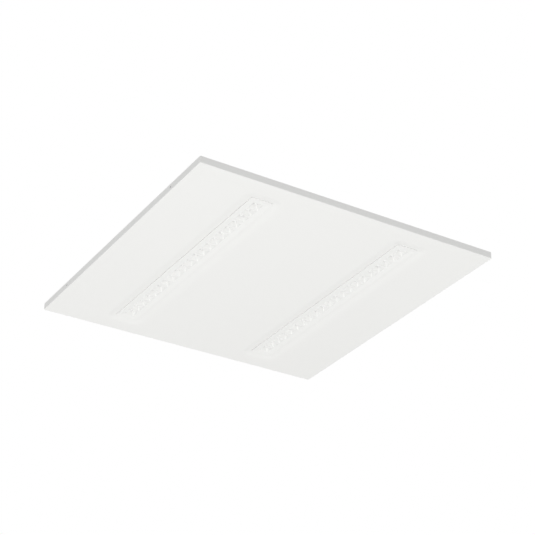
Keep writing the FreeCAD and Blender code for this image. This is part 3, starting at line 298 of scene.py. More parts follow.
def linear(red: float, green: float, blue: float) -> Colour:
    """Turn a colour as a screen shows it, from 0 to 255, into the shader's scale by the sRGB curve."""
    parts = [part / 255 for part in (red, green, blue)]
    return (*(part / 12.92 if part <= 0.04045 else ((part + 0.055) / 1.055) ** 2.4 for part in parts), 1.0)


BLACK: Colour = (0.0, 0.0, 0.0, 1.0)
WHITE: Colour = (1.0, 1.0, 1.0, 1.0)


# ---------------------------------------------------------------------------------------------
# Finishes
# ---------------------------------------------------------------------------------------------

@dataclass(frozen=True)
class Finish:
    """What one material slot looks like.

    Attributes:
        slot: the material slot of the frame.
        colour: its plain colour.
        roughness: how rough it is where nothing marks it.
        suffix: what tells it from another finish of the slot.
    """

    slot: str
    colour: Colour
    roughness: float = 0.45
    suffix: str = ""

    def dress(self, graph: Graph) -> None:
        """Build the shader in a material's graph. Each kind of finish has its own."""
        raise NotImplementedError

    def material(self) -> bpy.types.Material:
        """Find the finish's material, or make it at its first use.

        Returns:
            The material.
        """
        name = f"finish_{self.slot}{self.suffix}"
        made = bpy.data.materials.get(name)
        if made is None:
            made = bpy.data.materials.new(name)
            self.dress(Graph(made))
        return made


@dataclass(frozen=True)
class PowderCoat(Finish):
    """Baked powder paint on sheet steel: satin, with a fine orange-peel skin."""

    peel_size: float = 1.1
    peel_depth: float = 0.012
    cloud_size: float = 140.0
    speck_size: float = 0.35
    drift: float = 0.012

    def dress(self, graph: Graph) -> None:
        """Paint that drifts a little in tone, over an orange-peel skin.

        Args:
            graph: the material's graph.
        """
        place = graph.place()
        clouds = graph.noise(place, self.cloud_size, detail=3)
        speck = graph.noise(place, self.speck_size, detail=1)
        tone = 1 - self.drift * clouds - 0.008 * speck.stretched(0.62, 0.75)
        peel = (graph.noise(place, self.peel_size)
                + 0.25 * graph.noise(place, self.peel_size * 3.5, detail=1))
        graph.surface({"Base Color": graph.toned(self.colour, tone),
                       "Roughness": self.roughness + 0.07 * (clouds - 0.5) + 0.05 * speck,
                       "IOR": 1.5,
                       "Normal": graph.relief(peel, self.peel_depth, strength=0.5)})


@dataclass(frozen=True)
class Moulding(Finish):
    """Injection-moulded plastic with a faint spark-eroded grain."""

    grain_size: float = 0.45
    grain_depth: float = 0.01
    flow_size: float = 24.0

    def dress(self, graph: Graph) -> None:
        """Plastic with flow clouds and a fine grain.

        Args:
            graph: the material's graph.
        """
        place = graph.place()
        flow = graph.noise(place * (1.0, 0.35, 1.0), self.flow_size, distortion=0.6)
        grain = graph.noise(place, self.grain_size)
        graph.surface({"Base Color": graph.toned(self.colour, 1 - 0.015 * flow),
                       "Roughness": self.roughness + 0.08 * (flow - 0.5) + 0.05 * grain,
                       "IOR": 1.49,
                       "Normal": graph.relief(grain, self.grain_depth, strength=0.6)})


@dataclass(frozen=True)
class SatinMoulding(Finish):
    """Acrylic milky enough to hide what lies behind it, with a satin skin."""

    clearness: float = 0.12
    wave_size: float = 6.0
    haze_size: float = 2.5

    def dress(self, graph: Graph) -> None:
        """Milky plastic whose haze drifts and whose skin waves a little.

        Args:
            graph: the material's graph.
        """
        place = graph.place()
        wave = graph.noise(place, self.wave_size, detail=1)
        haze = graph.noise(place, self.haze_size)
        graph.surface({"Base Color": graph.mix(self.colour, WHITE, 0.5 * wave),
                       "Roughness": self.roughness + 0.08 * haze.stretched(0.4, 0.8),
                       "IOR": 1.49,
                       "Transmission Weight": self.clearness,
                       "Normal": graph.relief(wave, depth=0.02, strength=0.4)})


@dataclass(frozen=True)
class Galvanised(Finish):
    """Zinc-coated sheet steel with its pattern of crystals."""

    crystal: float = 5.0
    scratch: float = 0.5
    grit: float = 0.8

    def dress(self, graph: Graph) -> None:
        """Crystals that differ in brightness and gloss, with a few fine scratches.

        Args:
            graph: the material's graph.
        """
        place = graph.place()
        crystals = graph.flakes(place, self.crystal)
        small = graph.flakes(place * (1.0, 1.6, 1.0), self.crystal * 0.4)
        scratches = graph.noise(place * (1.0, 0.05, 1.0), self.scratch).stretched(0.66, 0.74)
        tone = 0.9 + 0.14 * crystals + 0.06 * small - 0.08 * scratches
        graph.surface({"Base Color": graph.toned(self.colour, tone),
                       "Metallic": 1.0,
                       "Roughness": self.roughness + 0.14 * crystals - 0.06 * small,
                       "Normal": graph.relief(graph.noise(place, self.grit), depth=0.008, strength=0.5)})


@dataclass(frozen=True)
class TurnedSteel(Finish):
    """Zinc-plated steel of small screws, pins and rivets, with fine turning marks."""

    mark_size: float = 0.12
    stain_size: float = 2.2
    stained: Colour = linear(150, 148, 140)

    def dress(self, graph: Graph) -> None:
        """Bright plating with turning marks and darker stains.

        Args:
            graph: the material's graph.
        """
        place = graph.place()
        turning = graph.noise(place * (0.08, 0.08, 1.0), self.mark_size)
        stain = graph.noise(place, self.stain_size, detail=3).stretched(0.45, 0.8)
        graph.surface({"Base Color": graph.mix(self.colour, self.stained, 0.35 * stain),
                       "Metallic": 1.0,
                       "Roughness": self.roughness + 0.12 * stain + 0.06 * turning,
                       "Normal": graph.relief(turning, depth=0.01, strength=0.5)})


@dataclass(frozen=True)
class SoftRubber(Finish):
    """Moulded rubber with a dry bloom."""

    bloom_size: float = 5.0
    grain_size: float = 0.4
    dusty: Colour = linear(84, 84, 82)

    def dress(self, graph: Graph) -> None:
        """Dark rubber, paler where it is dusty.

        Args:
            graph: the material's graph.
        """
        place = graph.place()
        bloom = graph.noise(place, self.bloom_size, detail=3).stretched(0.45, 0.8)
        graph.surface({"Base Color": graph.mix(self.colour, self.dusty, 0.4 * bloom),
                       "Roughness": self.roughness + 0.12 * bloom,
                       "Normal": graph.relief(graph.noise(place, self.grain_size), depth=0.02,
                                              strength=0.6)})


@dataclass(frozen=True)
class Insulation(Finish):
    """Extruded wire insulation, with an optional stripe along its sides."""

    stripe: Colour | None = None
    axis_level: float = WIRE_LEVEL
    stripe_half: float = 0.55
    draw_size: float = 0.8

    def dress(self, graph: Graph) -> None:
        """Smooth plastic with a faint draw and the stripe.

        Args:
            graph: the material's graph.
        """
        place = graph.place()
        draw = graph.noise(place * (1.0, 0.12, 1.0), self.draw_size)
        colour = graph.toned(self.colour, 1 - 0.06 * draw)
        if self.stripe is not None:
            away = abs(place.part("Z") - self.axis_level * MM)
            colour = colour.mixed(self.stripe, away < self.stripe_half * MM)
        graph.surface({"Base Color": colour,
                       "Roughness": self.roughness + 0.08 * draw,
                       "Normal": graph.relief(draw, depth=0.02, strength=0.4)})


@dataclass(frozen=True)
class SolderMask(Finish):
    """White lacquer over the copper tracks of a circuit board."""

    track_places: Plan = (9.5, 15.5)
    track_half: float = 1.4
    fibre_size: float = 0.5
    over_track: Colour = linear(226, 222, 206)

    def dress(self, graph: Graph) -> None:
        """Lacquer that is raised and a shade warmer over each track.

        Args:
            graph: the material's graph.
        """
        place = graph.place()
        across = abs(abs(place.part("X")) - STRIP_OFFSET * MM)
        inner, outer = [abs(across - middle * MM) < self.track_half * MM for middle in self.track_places]
        tracks = inner + outer
        fibre = graph.noise(place * (1.0, 0.3, 1.0), self.fibre_size)
        colour = graph.mix(self.colour, self.over_track, 0.7 * tracks)
        graph.surface({"Base Color": colour * (1 - 0.03 * fibre),
                       "Roughness": self.roughness + 0.06 * fibre,
                       "Normal": graph.relief(tracks + 0.1 * fibre, depth=0.035, strength=0.8)})


@dataclass(frozen=True)
class Phosphor(Finish):
    """The silicone and phosphor fill of a light-emitting diode."""

    grain_size: float = 0.12
    grain_colour: Colour = linear(250, 226, 130)

    def dress(self, graph: Graph) -> None:
        """Grainy yellow silicone with a wet gloss.

        Args:
            graph: the material's graph.
        """
        place = graph.place()
        grain = graph.noise(place, self.grain_size)
        graph.surface({"Base Color": graph.mix(self.colour, self.grain_colour, grain.stretched(0.4, 0.7)),
                       "Roughness": self.roughness + 0.1 * grain,
                       "Coat Weight": 0.5,
                       "Normal": graph.relief(grain, depth=0.01, strength=0.5)})


@dataclass(frozen=True)
class Brass(Finish):
    """Turned brass, a little tarnished."""

    mark_size: float = 0.15
    tarnish_size: float = 3.0
    tarnished: Colour = linear(168, 130, 78)

    def dress(self, graph: Graph) -> None:
        """Yellow metal, browner where it has tarnished.

        Args:
            graph: the material's graph.
        """
        place = graph.place()
        tarnish = graph.noise(place, self.tarnish_size, detail=3).stretched(0.4, 0.8)
        turning = graph.noise(place * (0.1, 0.1, 1.0), self.mark_size)
        graph.surface({"Base Color": graph.mix(self.colour, self.tarnished, 0.5 * tarnish),
                       "Metallic": 1.0,
                       "Roughness": self.roughness + 0.15 * tarnish,
                       "Normal": graph.relief(turning, depth=0.012, strength=0.5)})


FACE_PAINT = PowderCoat("face_paint", linear(240, 240, 239), 0.42)
HOUSING_PAINT = PowderCoat("housing_paint", linear(226, 227, 226), 0.46, peel_size=1.4, peel_depth=0.02)
LOUVRE_PLASTIC = Moulding("louvre_plastic", linear(242, 242, 241), 0.34, grain_depth=0.004)
LENS_ACRYLIC = SatinMoulding("clear_acrylic", linear(246, 247, 246), 0.26)
BOARD_MASK = SolderMask("board_mask", linear(236, 236, 230), 0.38)
PHOSPHOR = Phosphor("diode_phosphor", linear(240, 205, 84), 0.35)
CONNECTOR = Moulding("connector_plastic", linear(232, 229, 218), 0.48)
SCREW_STEEL = TurnedSteel("screw_steel", linear(214, 214, 210), 0.3)
THUMB_STEEL = TurnedSteel("thumbscrew_steel", linear(208, 208, 206), 0.28)
GALVANISED = Galvanised("galvanised_steel", linear(196, 199, 202), 0.32)
DRIVER_SHELL = Moulding("driver_shell", linear(226, 226, 222), 0.5, grain_depth=0.03)
BUTTON = Moulding("driver_shell", linear(222, 118, 44), 0.42, "_button")
TERMINAL = Moulding("terminal_plastic", linear(160, 163, 166), 0.5, grain_depth=0.02)
LEVER = Moulding("lever_plastic", linear(232, 232, 227), 0.42)
BROWN = Insulation("brown_insulation", linear(104, 62, 40), 0.4)
BLUE = Insulation("blue_insulation", linear(44, 96, 172), 0.4)
EARTH = Insulation("green_insulation", linear(62, 140, 70), 0.4, stripe=linear(226, 208, 62))
LEAD = Insulation("lead_jacket", linear(228, 228, 224), 0.46)
BRASS = Brass("brass", linear(212, 178, 106), 0.26)
RUBBER = SoftRubber("black_rubber", linear(38, 38, 39), 0.68)
CLAMP = Moulding("clamp_plastic", linear(60, 60, 62), 0.5, grain_depth=0.03)


# ---------------------------------------------------------------------------------------------
# Meshes
# ---------------------------------------------------------------------------------------------

# Points nearer than this, in metres, are one, and this share of a flat may stay open.
SAME_POINT = 1e-6
OPEN_SHARE = 0.01
# Solids are copied without edges below the first angle and eased at edges above the second.
FLAT_ANGLE = math.radians(0.6)
SHARP_ANGLE = math.radians(32)


def rounded(half: Plan, radius: float, steps: int = 6) -> list[Plan]:
    """Points of a rounded rectangle about the origin, anticlockwise from its +X side.

    Args:
        half: its half sizes.
        radius: its corner radius.
        steps: the pieces of each corner.

    Returns:
        The points, steps + 1 for each corner.
    """
    points = []
    for quarter, (right, up) in enumerate(((1, 1), (-1, 1), (-1, -1), (1, -1))):
        for step in range(steps + 1):
            angle = math.radians(90 * (quarter + step / steps))
            points.append((right * (half[0] - radius) + radius * math.cos(angle),
                           up * (half[1] - radius) + radius * math.sin(angle)))
    return points


def circle(radius: float, count: int = 24) -> list[Plan]:
    """Points of a circle about the origin."""
    turns = [math.tau * index / count for index in range(count)]
    return [(radius * math.cos(turn), radius * math.sin(turn)) for turn in turns]


def flat_area(loop: Loop) -> float:
    """Measure the flat inside a loop.

    Args:
        loop: the loop.

    Returns:
        The area in square metres.
    """
    total = Vector()
    for point, after in zip(loop, loop[1:] + loop[:1]):
        total += point.co.cross(after.co)
    return total.length / 2


def smooth(share: float) -> float:
    """An S-shaped step from nought to one."""
    return share * share * (3 - 2 * share)


def shares(steps: int, first: int = 0) -> list[float]:
    """Even steps from nought to one, without nought where the first is one."""
    return [step / steps for step in range(first, steps + 1)]


def spread(count: int, pitch: float) -> list[float]:
    """Places at a pitch, spread evenly about nought."""
    return [pitch * (index - (count - 1) / 2) for index in range(count)]


def arc(steps: int) -> list[float]:
    """Angles of a quarter turn in radians, its start left out."""
    return [math.radians(90 * step / steps) for step in range(1, steps + 1)]


def fold(radius: float, steps: int) -> list[Plan]:
    """What is left of a quarter fold's reach, and how far it has risen, at each step of it."""
    return [(radius * (1 - math.sin(angle)), radius * (1 - math.cos(angle))) for angle in arc(steps)]


def placed(name: str, data: bpy.types.ID) -> bpy.types.Object:
    """Add an object to the scene.

    Args:
        name: its name.
        data: its mesh, lamp or camera.

    Returns:
        The object.
    """
    made = bpy.data.objects.new(name, data)
    bpy.context.scene.collection.objects.link(made)
    return made


class Surface:
    """A mesh under construction, from loops of points joined by strips and flats."""

    def __init__(self) -> None:
        """Start with nothing."""
        self.mesh = bmesh.new()

    def loop(self, points: Iterable[Point]) -> Loop:
        """Add the points of one loop, given in millimetres."""
        return [self.mesh.verts.new(Vector(point) * MM) for point in points]

    def level(self, plan: Iterable[Plan], height: float, middle: Plan = (0.0, 0.0)) -> Loop:
        """Add a loop that lies level.

        Args:
            plan: its plan points.
            height: its level.
            middle: where its origin stands in plan.

        Returns:
            The loop.
        """
        return self.loop((x + middle[0], y + middle[1], height) for x, y in plan)

    def skin(self, loops: Sequence[Loop], skipped: Sequence[int] = (), shade: int = 0) -> None:
        """Join closed loops of one length, each to the next, with quads.

        Args:
            loops: the loops in order.
            skipped: places round the loops that stay open.
            shade: the finish's place on the piece.
        """
        for near, far in zip(loops, loops[1:]):
            for index in range(len(near)):
                if index not in skipped:
                    after = (index + 1) % len(near)
                    face = self.mesh.faces.new((near[index], near[after], far[after], far[index]))
                    face.material_index = shade

    def fill(self, *loops: Loop, shade: int = 0) -> None:
        """Fill the flat between an outer loop and those inside it.

        Args:
            loops: the outer loop, then a few inner ones.
            shade: the finish's place on the piece.

        Raises:
            ValueError: the flat isn't wholly filled.
        """
        edges = []
        for loop in loops:
            for start, end in zip(loop, loop[1:] + loop[:1]):
                edges.append(self.mesh.edges.get((start, end)) or self.mesh.edges.new((start, end)))
        made = bmesh.ops.triangle_fill(self.mesh, use_beauty=True, edges=edges)
        faces = [item for item in made["geom"] if isinstance(item, bmesh.types.BMFace)]
        for face in faces:
            face.material_index = shade
        outer, *inner = [flat_area(loop) for loop in loops]
        if abs(sum(face.calc_area() for face in faces) - outer + sum(inner)) > OPEN_SHARE * outer:
            raise ValueError("a flat is not wholly filled")

    def border(self, corners: Loop, loop: Loop, shade: int = 0) -> None:
        """Fill the flat between four corners and a loop of four equal quarters inside them.

        Args:
            corners: the corners, anticlockwise from the +X +Y one.
            loop: the loop, from its +X side.
            shade: the finish's place on the piece.
        """
        quarter = len(loop) // 4
        for index, point in enumerate(loop):
            after = (index + 1) % len(loop)
            mine, its = corners[index // quarter], corners[after // quarter]
            points = (mine, point, loop[after]) if mine is its else (mine, point, loop[after], its)
            self.mesh.faces.new(points).material_index = shade

    def tiles(self, half: float, lines: Sequence[float], pitch: float, level: float, middle: float,
              mouths: Sequence[Loop]) -> Loop:
        """Fill the flat round a row of mouths along Y, a tile for each.

        Args:
            half: the tiles' half width.
            lines: the mouths' places along Y.
            pitch: the tiles' length.
            level: the flat's level.
            middle: the row's place across X.
            mouths: the mouths' loops.

        Returns:
            The loop round all the tiles.
        """
        joints = [lines[0] - pitch / 2] + [line + pitch / 2 for line in lines]
        right = self.loop((middle + half, line, level) for line in joints)
        left = self.loop((middle - half, line, level) for line in joints)
        for index, mouth in enumerate(mouths):
            self.border([right[index + 1], left[index + 1], left[index], right[index]], mouth)
        return right + left[::-1]

    def moved(self, matrix: Matrix, since: int = 0) -> None:
        """Move the points added since a count, by a matrix in metres."""
        self.mesh.verts.ensure_lookup_table()
        bmesh.ops.transform(self.mesh, matrix=matrix, verts=self.mesh.verts[since:])

    def count(self) -> int:
        """How many points there are."""
        return len(self.mesh.verts)

    def finished(self, name: str) -> bpy.types.Mesh:
        """Write the surface into a mesh and free it.

        Args:
            name: the mesh's name.

        Returns:
            The mesh.
        """
        data = bpy.data.meshes.new(name)
        self.mesh.to_mesh(data)
        self.mesh.free()
        return data


@dataclass
class Piece:
    """How a finished mesh becomes a piece of the light.

    Attributes:
        name: the piece's name.
        body: the body it rides on.
        finishes: its finishes, by their place on the piece.
        stands_for: the solids it replaces.
        thickness: the sheet's thickness behind the mesh, or nought for a closed mesh.
        outward: which way the largest face of a sheet looks.
        crease: edges sharper than this many degrees stay crisp.
    """

    name: str
    body: str
    finishes: Sequence[Finish]
    stands_for: Sequence[str] = ()
    thickness: float = 0.0
    outward: Point = (0.0, 0.0, -1.0)
    crease: float = 40.0

    def make(self, surface: Surface) -> None:
        """Turn the surface into the piece.

        Args:
            surface: the surface, which is used up.
        """
        mesh = surface.mesh
        bmesh.ops.recalc_face_normals(mesh, faces=mesh.faces)
        if self.thickness:
            mesh.normal_update()
            largest = max(mesh.faces, key=lambda face: face.calc_area())
            if largest.normal.dot(Vector(self.outward)) < 0:
                bmesh.ops.reverse_faces(mesh, faces=mesh.faces)
        data = surface.finished(self.name)
        for finish in self.finishes:
            data.materials.append(finish.material())
        made = placed(self.name, data)
        if self.thickness:
            sheet = made.modifiers.new("thickness", "SOLIDIFY")
            sheet.thickness = self.thickness * MM
            sheet.offset = -1.0
            sheet.use_even_offset = True
            self.settle(made)
        made.data.shade_smooth()
        made.data.set_sharp_from_angle(angle=math.radians(self.crease))
        weighted = made.modifiers.new("flats", "WEIGHTED_NORMAL")
        weighted.keep_sharp = True
        self.settle(made)
        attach(made, self.body)
        if self.stands_for:
            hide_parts(*self.stands_for)
        LOG.info("%s: %d faces", self.name, len(made.data.polygons))

    @staticmethod
    def settle(made: bpy.types.Object) -> None:
        """Write a piece's modifiers into its mesh.

        Args:
            made: the piece.
        """
        graph = bpy.context.evaluated_depsgraph_get()
        result = bpy.data.meshes.new_from_object(made.evaluated_get(graph), preserve_all_data_layers=True,
                                                 depsgraph=graph)
        old = made.data
        made.modifiers.clear()
        made.data = result
        bpy.data.meshes.remove(old)


def box_of(node: str) -> list[Vector]:
    """The low and the high corner of a solid's box, in millimetres."""
    return [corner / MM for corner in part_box(node)]


def copied(node: str) -> Surface:
    """Copy the mesh of a solid, its points joined.

    Args:
        node: the solid's node.

    Returns:
        The copy.
    """
    surface = Surface()
    surface.mesh.from_mesh(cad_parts[node].data)
    bmesh.ops.remove_doubles(surface.mesh, verts=surface.mesh.verts, dist=SAME_POINT)
    return surface


def softened(node: str, width: float, segments: int = 2, shortest: float = 4.0) -> Surface:
    """Copy a solid with its sharp edges eased.

    Args:
        node: the solid's node.
        width: how far the easing reaches from an edge.
        segments: the strips across it.
        shortest: the length below which an edge stays, in widths.

    Returns:
        The eased surface.
    """
    surface = copied(node)
    mesh = surface.mesh
    bmesh.ops.dissolve_limit(mesh, angle_limit=FLAT_ANGLE, verts=mesh.verts, edges=mesh.edges)
    sharp = [edge for edge in mesh.edges if edge.is_manifold and edge.calc_face_angle(0.0) > SHARP_ANGLE
             and edge.calc_length() > width * shortest * MM]
    bmesh.ops.bevel(mesh, geom=sharp, offset=width * MM, offset_type="OFFSET", segments=segments,
                    profile=0.5, affect="EDGES", clamp_overlap=False, miter_outer="SHARP", loop_slide=True)
    for face in mesh.faces:
        face.material_index = 0
    return surface


def solids_of(node: str) -> list[tuple[Vector, Vector]]:
    """Find the box of each separate solid of a node.

    Args:
        node: the node.

    Returns:
        The low and high corners in millimetres, in order along Y and then X.
    """
    mesh = copied(node).mesh
    seen: set[bmesh.types.BMVert] = set()
    boxes = []
    for start in mesh.verts:
        if start in seen:
            continue
        seen.add(start)
        island, queue = [], [start]
        while queue:
            point = queue.pop()
            island.append(point.co / MM)
            for edge in point.link_edges:
                other = edge.other_vert(point)
                if other not in seen:
                    seen.add(other)
                    queue.append(other)
        low = Vector([min(place[axis] for place in island) for axis in range(3)])
        high = Vector([max(place[axis] for place in island) for axis in range(3)])
        boxes.append((low, high))
    mesh.free()
    return sorted(boxes, key=lambda pair: (round(pair[0].y, 2), round(pair[0].x, 2)))


def keep(node: str, finish: Finish) -> None:
    """Leave a solid as it is and give it a finish.

    Args:
        node: the solid's node.
        finish: the finish.
    """
    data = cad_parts[node].data
    data.materials.clear()
    data.materials.append(finish.material())


def ease(node: str, body: str, finish: Finish, width: float, segments: int = 2) -> None:
    """Replace a solid by its copy with eased edges."""
    Piece(f"{node}_dressed", body, (finish,), (node,)).make(softened(node, width, segments))


# ---------------------------------------------------------------------------------------------
# Face and louvres
# ---------------------------------------------------------------------------------------------

@dataclass
class FacePanel:
    """The pressed steel face: a folded rim and two dished surrounds with a lip at each opening."""

    half: float = 297.5
    sheet: float = 0.8
    rim: float = 13.0
    fold: float = 1.2
    corner: float = 2.2
    dish_margin: float = 19.0
    dish_depth: float = 3.0
    lip_fold: float = 0.9
    lip_top: float = LIP_TOP
    hole_radius: float = 2.0
    hole_reach: float = 198.0
    hole_height: float = 7.0
    corner_steps: int = 6
    fold_steps: int = 4
    slope_steps: int = 14
    lip_steps: int = 5

    def ring(self, surface: Surface, inset: float, height: float) -> Loop:
        """A loop round the panel at an inset from its sides."""
        half = self.half - inset
        return surface.level(rounded((half, half), self.corner - inset, self.corner_steps), height)

    def rim_fold(self, surface: Surface) -> Loop:
        """Build the fold and the rim.

        Args:
            surface: the surface it is added to.

        Returns:
            The loop where the fold meets the flat face.
        """
        loops = [self.ring(surface, self.fold, 0.0)]
        loops += [self.ring(surface, inset, height) for inset, height in fold(self.fold, self.fold_steps)]
        surface.skin(loops)
        top = self.ring(surface, 0.0, self.rim)
        corner = self.corner_steps + 1
        pierced = (2 * corner - 1, 4 * corner - 1)
        surface.skin([loops[-1], top], pierced)
        for side, index in zip((-1, 1), pierced):
            after = (index + 1) % len(top)
            wall = [loops[-1][index], loops[-1][after], top[after], top[index]]
            holes = [surface.loop((side * self.half, end * self.hole_reach + x, self.hole_height + z)
                                  for x, z in circle(self.hole_radius, count=20)) for end in (-1, 1)]
            surface.fill(wall, *holes)
        return loops[0]

    def dish(self, surface: Surface, middle: float) -> Loop:
        """Build one dished surround and the lip round its opening.

        Args:
            surface: the surface it is added to.
            middle: the strip's place across the panel.

        Returns:
            The loop where the surround meets the flat face.
        """
        def ring(margin: float, height: float) -> Loop:
            """A loop round the opening at a margin from it.

            Args:
                margin: how far it lies outside the opening.
                height: its level.

            Returns:
                The loop.
            """
            plan = rounded((OPENING[0] + margin, OPENING[1] + margin), OPENING_CORNER + margin,
                           self.corner_steps)
            return surface.level(plan, height, (middle, 0.0))

        slope = self.dish_margin - self.lip_fold
        loops = [ring(self.dish_margin - slope * share, self.dish_depth * smooth(share))
                 for share in shares(self.slope_steps)]
        loops += [ring(margin, self.dish_depth + rise)
                  for margin, rise in fold(self.lip_fold, self.lip_steps)]
        loops.append(ring(0.0, self.lip_top))
        surface.skin(loops)
        return loops[0]

    def build(self) -> None:
        """Build the face panel."""
        surface = Surface()
        outer = self.rim_fold(surface)
        dishes = [self.dish(surface, sign * STRIP_OFFSET) for sign in SIDES.values()]
        surface.fill(outer, *dishes)
        Piece("face_panel_dressed", "light", (FACE_PAINT,), ("face_panel",), self.sheet).make(surface)


@dataclass
class Strip:
    """Where one optic strip and its cells lie on the panel."""

    side: str
    cells: int = 21
    pitch: float = 22.5

    @property
    def middle(self) -> float:
        """The strip's place across the panel."""
        return SIDES[self.side] * STRIP_OFFSET

    @property
    def lines(self) -> list[float]:
        """The cells' places along the strip."""
        return spread(self.cells, self.pitch)


@dataclass
class Louvre(Strip):
    """One moulded louvre: a bar with a row of square reflector cells and hooks along its edges."""

    clearance: float = 0.06
    least_corner: float = 1.0
    face: float = 1.8
    hollow: float = 2.6
    flat: float = 1.4
    slope: float = 7.0
    edge_round: float = 0.7
    skirt_top: float = 6.2
    mouth: float = 9.3
    mouth_round: float = 0.55
    mouth_corner: float = 2.2
    throat: float = 4.5
    throat_corner: float = 1.2
    cup_top: float = 10.0
    cup_bow: float = 1.3
    tile_half: float = 10.3
    wall: float = 1.1
    lip_top: float = LIP_TOP
    hooks: int = 4
    hook_pitch: float = 135.0
    hook_half: float = 4.0
    hook_root: float = 1.1
    hook_foot: float = 4.0
    hook_gap: float = 0.05
    hook_nose: float = 1.4
    hook_lip: float = 0.4
    hook_shoulder: float = 0.2
    hook_height: float = 1.5
    corner_steps: int = 5
    edge_steps: int = 5
    slope_steps: int = 6
    mouth_steps: int = 3
    cup_steps: int = 10

    def ring(self, surface: Surface, inset: float, height: float) -> Loop:
        """Add a loop round the bar.

        Args:
            surface: the surface it is added to.
            inset: how far it lies inside the bar's sides.
            height: its level.

        Returns:
            The loop.
        """
        gap = self.clearance + inset
        corner = max(OPENING_CORNER - gap, self.least_corner)
        plan = rounded((OPENING[0] - gap, OPENING[1] - gap), corner, self.corner_steps)
        return surface.level(plan, height, (self.middle, 0.0))

    def bar(self, surface: Surface) -> Loop:
        """Build the bar's side and its hollowed face.

        Args:
            surface: the surface it is added to.

        Returns:
            The loop round the cells.
        """
        edge = self.face + self.edge_round
        loops = [self.ring(surface, 0.0, self.skirt_top), self.ring(surface, 0.0, edge)]
        loops += [self.ring(surface, inset, self.face + rise)
                  for rise, inset in fold(self.edge_round, self.edge_steps)]
        start = self.edge_round + self.flat
        loops.append(self.ring(surface, start, self.face))
        loops += [self.ring(surface, start + self.slope * share,
                            self.face + (self.hollow - self.face) * smooth(share))
                  for share in shares(self.slope_steps, 1)]
        surface.skin(loops)
        return loops[-1]

    def cell(self, surface: Surface, line: float) -> Loop:
        """Build one reflector cell.

        Args:
            surface: the surface it is added to.
            line: the cell's place along the bar.

        Returns:
            The loop round its mouth.
        """
        def ring(half: float, corner: float, height: float) -> Loop:
            """A square loop round the cell's middle."""
            plan = rounded((half, half), corner, self.corner_steps)
            return surface.level(plan, height, (self.middle, line))

        loops = [ring(self.mouth + self.mouth_round, self.mouth_corner + self.mouth_round, self.hollow)]
        loops += [ring(self.mouth + grown, self.mouth_corner + grown, self.hollow + rise)
                  for grown, rise in fold(self.mouth_round, self.mouth_steps)]
        start = self.hollow + self.mouth_round
        for share in shares(self.cup_steps, 1):
            bow = (1 - share) ** self.cup_bow
            loops.append(ring(self.throat + (self.mouth - self.throat) * bow,
                              self.throat_corner + (self.mouth_corner - self.throat_corner) * bow,
                              start + (self.cup_top - start) * share))
        surface.skin(loops)
        return loops[0]

    def hook(self, surface: Surface, sign: int, line: float) -> None:
        """Build one hook, whose nose lies over the lip of the opening.

        Args:
            surface: the surface it is added to.
            sign: the bar's side that it stands on, across X.
            line: the hook's place along the bar.
        """
        edge = OPENING[0] - self.clearance
        root, tip = edge - self.hook_root, edge + self.hook_nose
        nose = self.lip_top + self.hook_gap
        crest = nose + self.hook_height
        profile = ((root, self.hook_foot), (edge, self.hook_foot), (edge, nose), (tip, nose),
                   (tip, nose + self.hook_lip), (edge + self.hook_shoulder, crest), (root, crest))
        ends = [surface.loop((self.middle + sign * x, line + reach, z) for x, z in profile)
                for reach in (-self.hook_half, self.hook_half)]
        surface.skin(ends)
        for end in ends:
            surface.mesh.faces.new(end)

    def build(self) -> None:
        """Build the louvre and its hooks."""
        surface = Surface()
        inner = self.bar(surface)
        mouths = [self.cell(surface, line) for line in self.lines]
        cells = surface.tiles(self.tile_half, self.lines, self.pitch, self.hollow, self.middle, mouths)
        surface.fill(inner, cells)
        node = f"louvre_{self.side}"
        Piece(f"{node}_dressed", "light", (LOUVRE_PLASTIC,), (node,), self.wall).make(surface)
        hooks = Surface()
        for sign in (-1, 1):
            for line in spread(self.hooks, self.hook_pitch):
                self.hook(hooks, sign, line)
        Piece(f"{node}_hooks", "light", (LOUVRE_PLASTIC,)).make(hooks)


# ---------------------------------------------------------------------------------------------
# Light source
# ---------------------------------------------------------------------------------------------

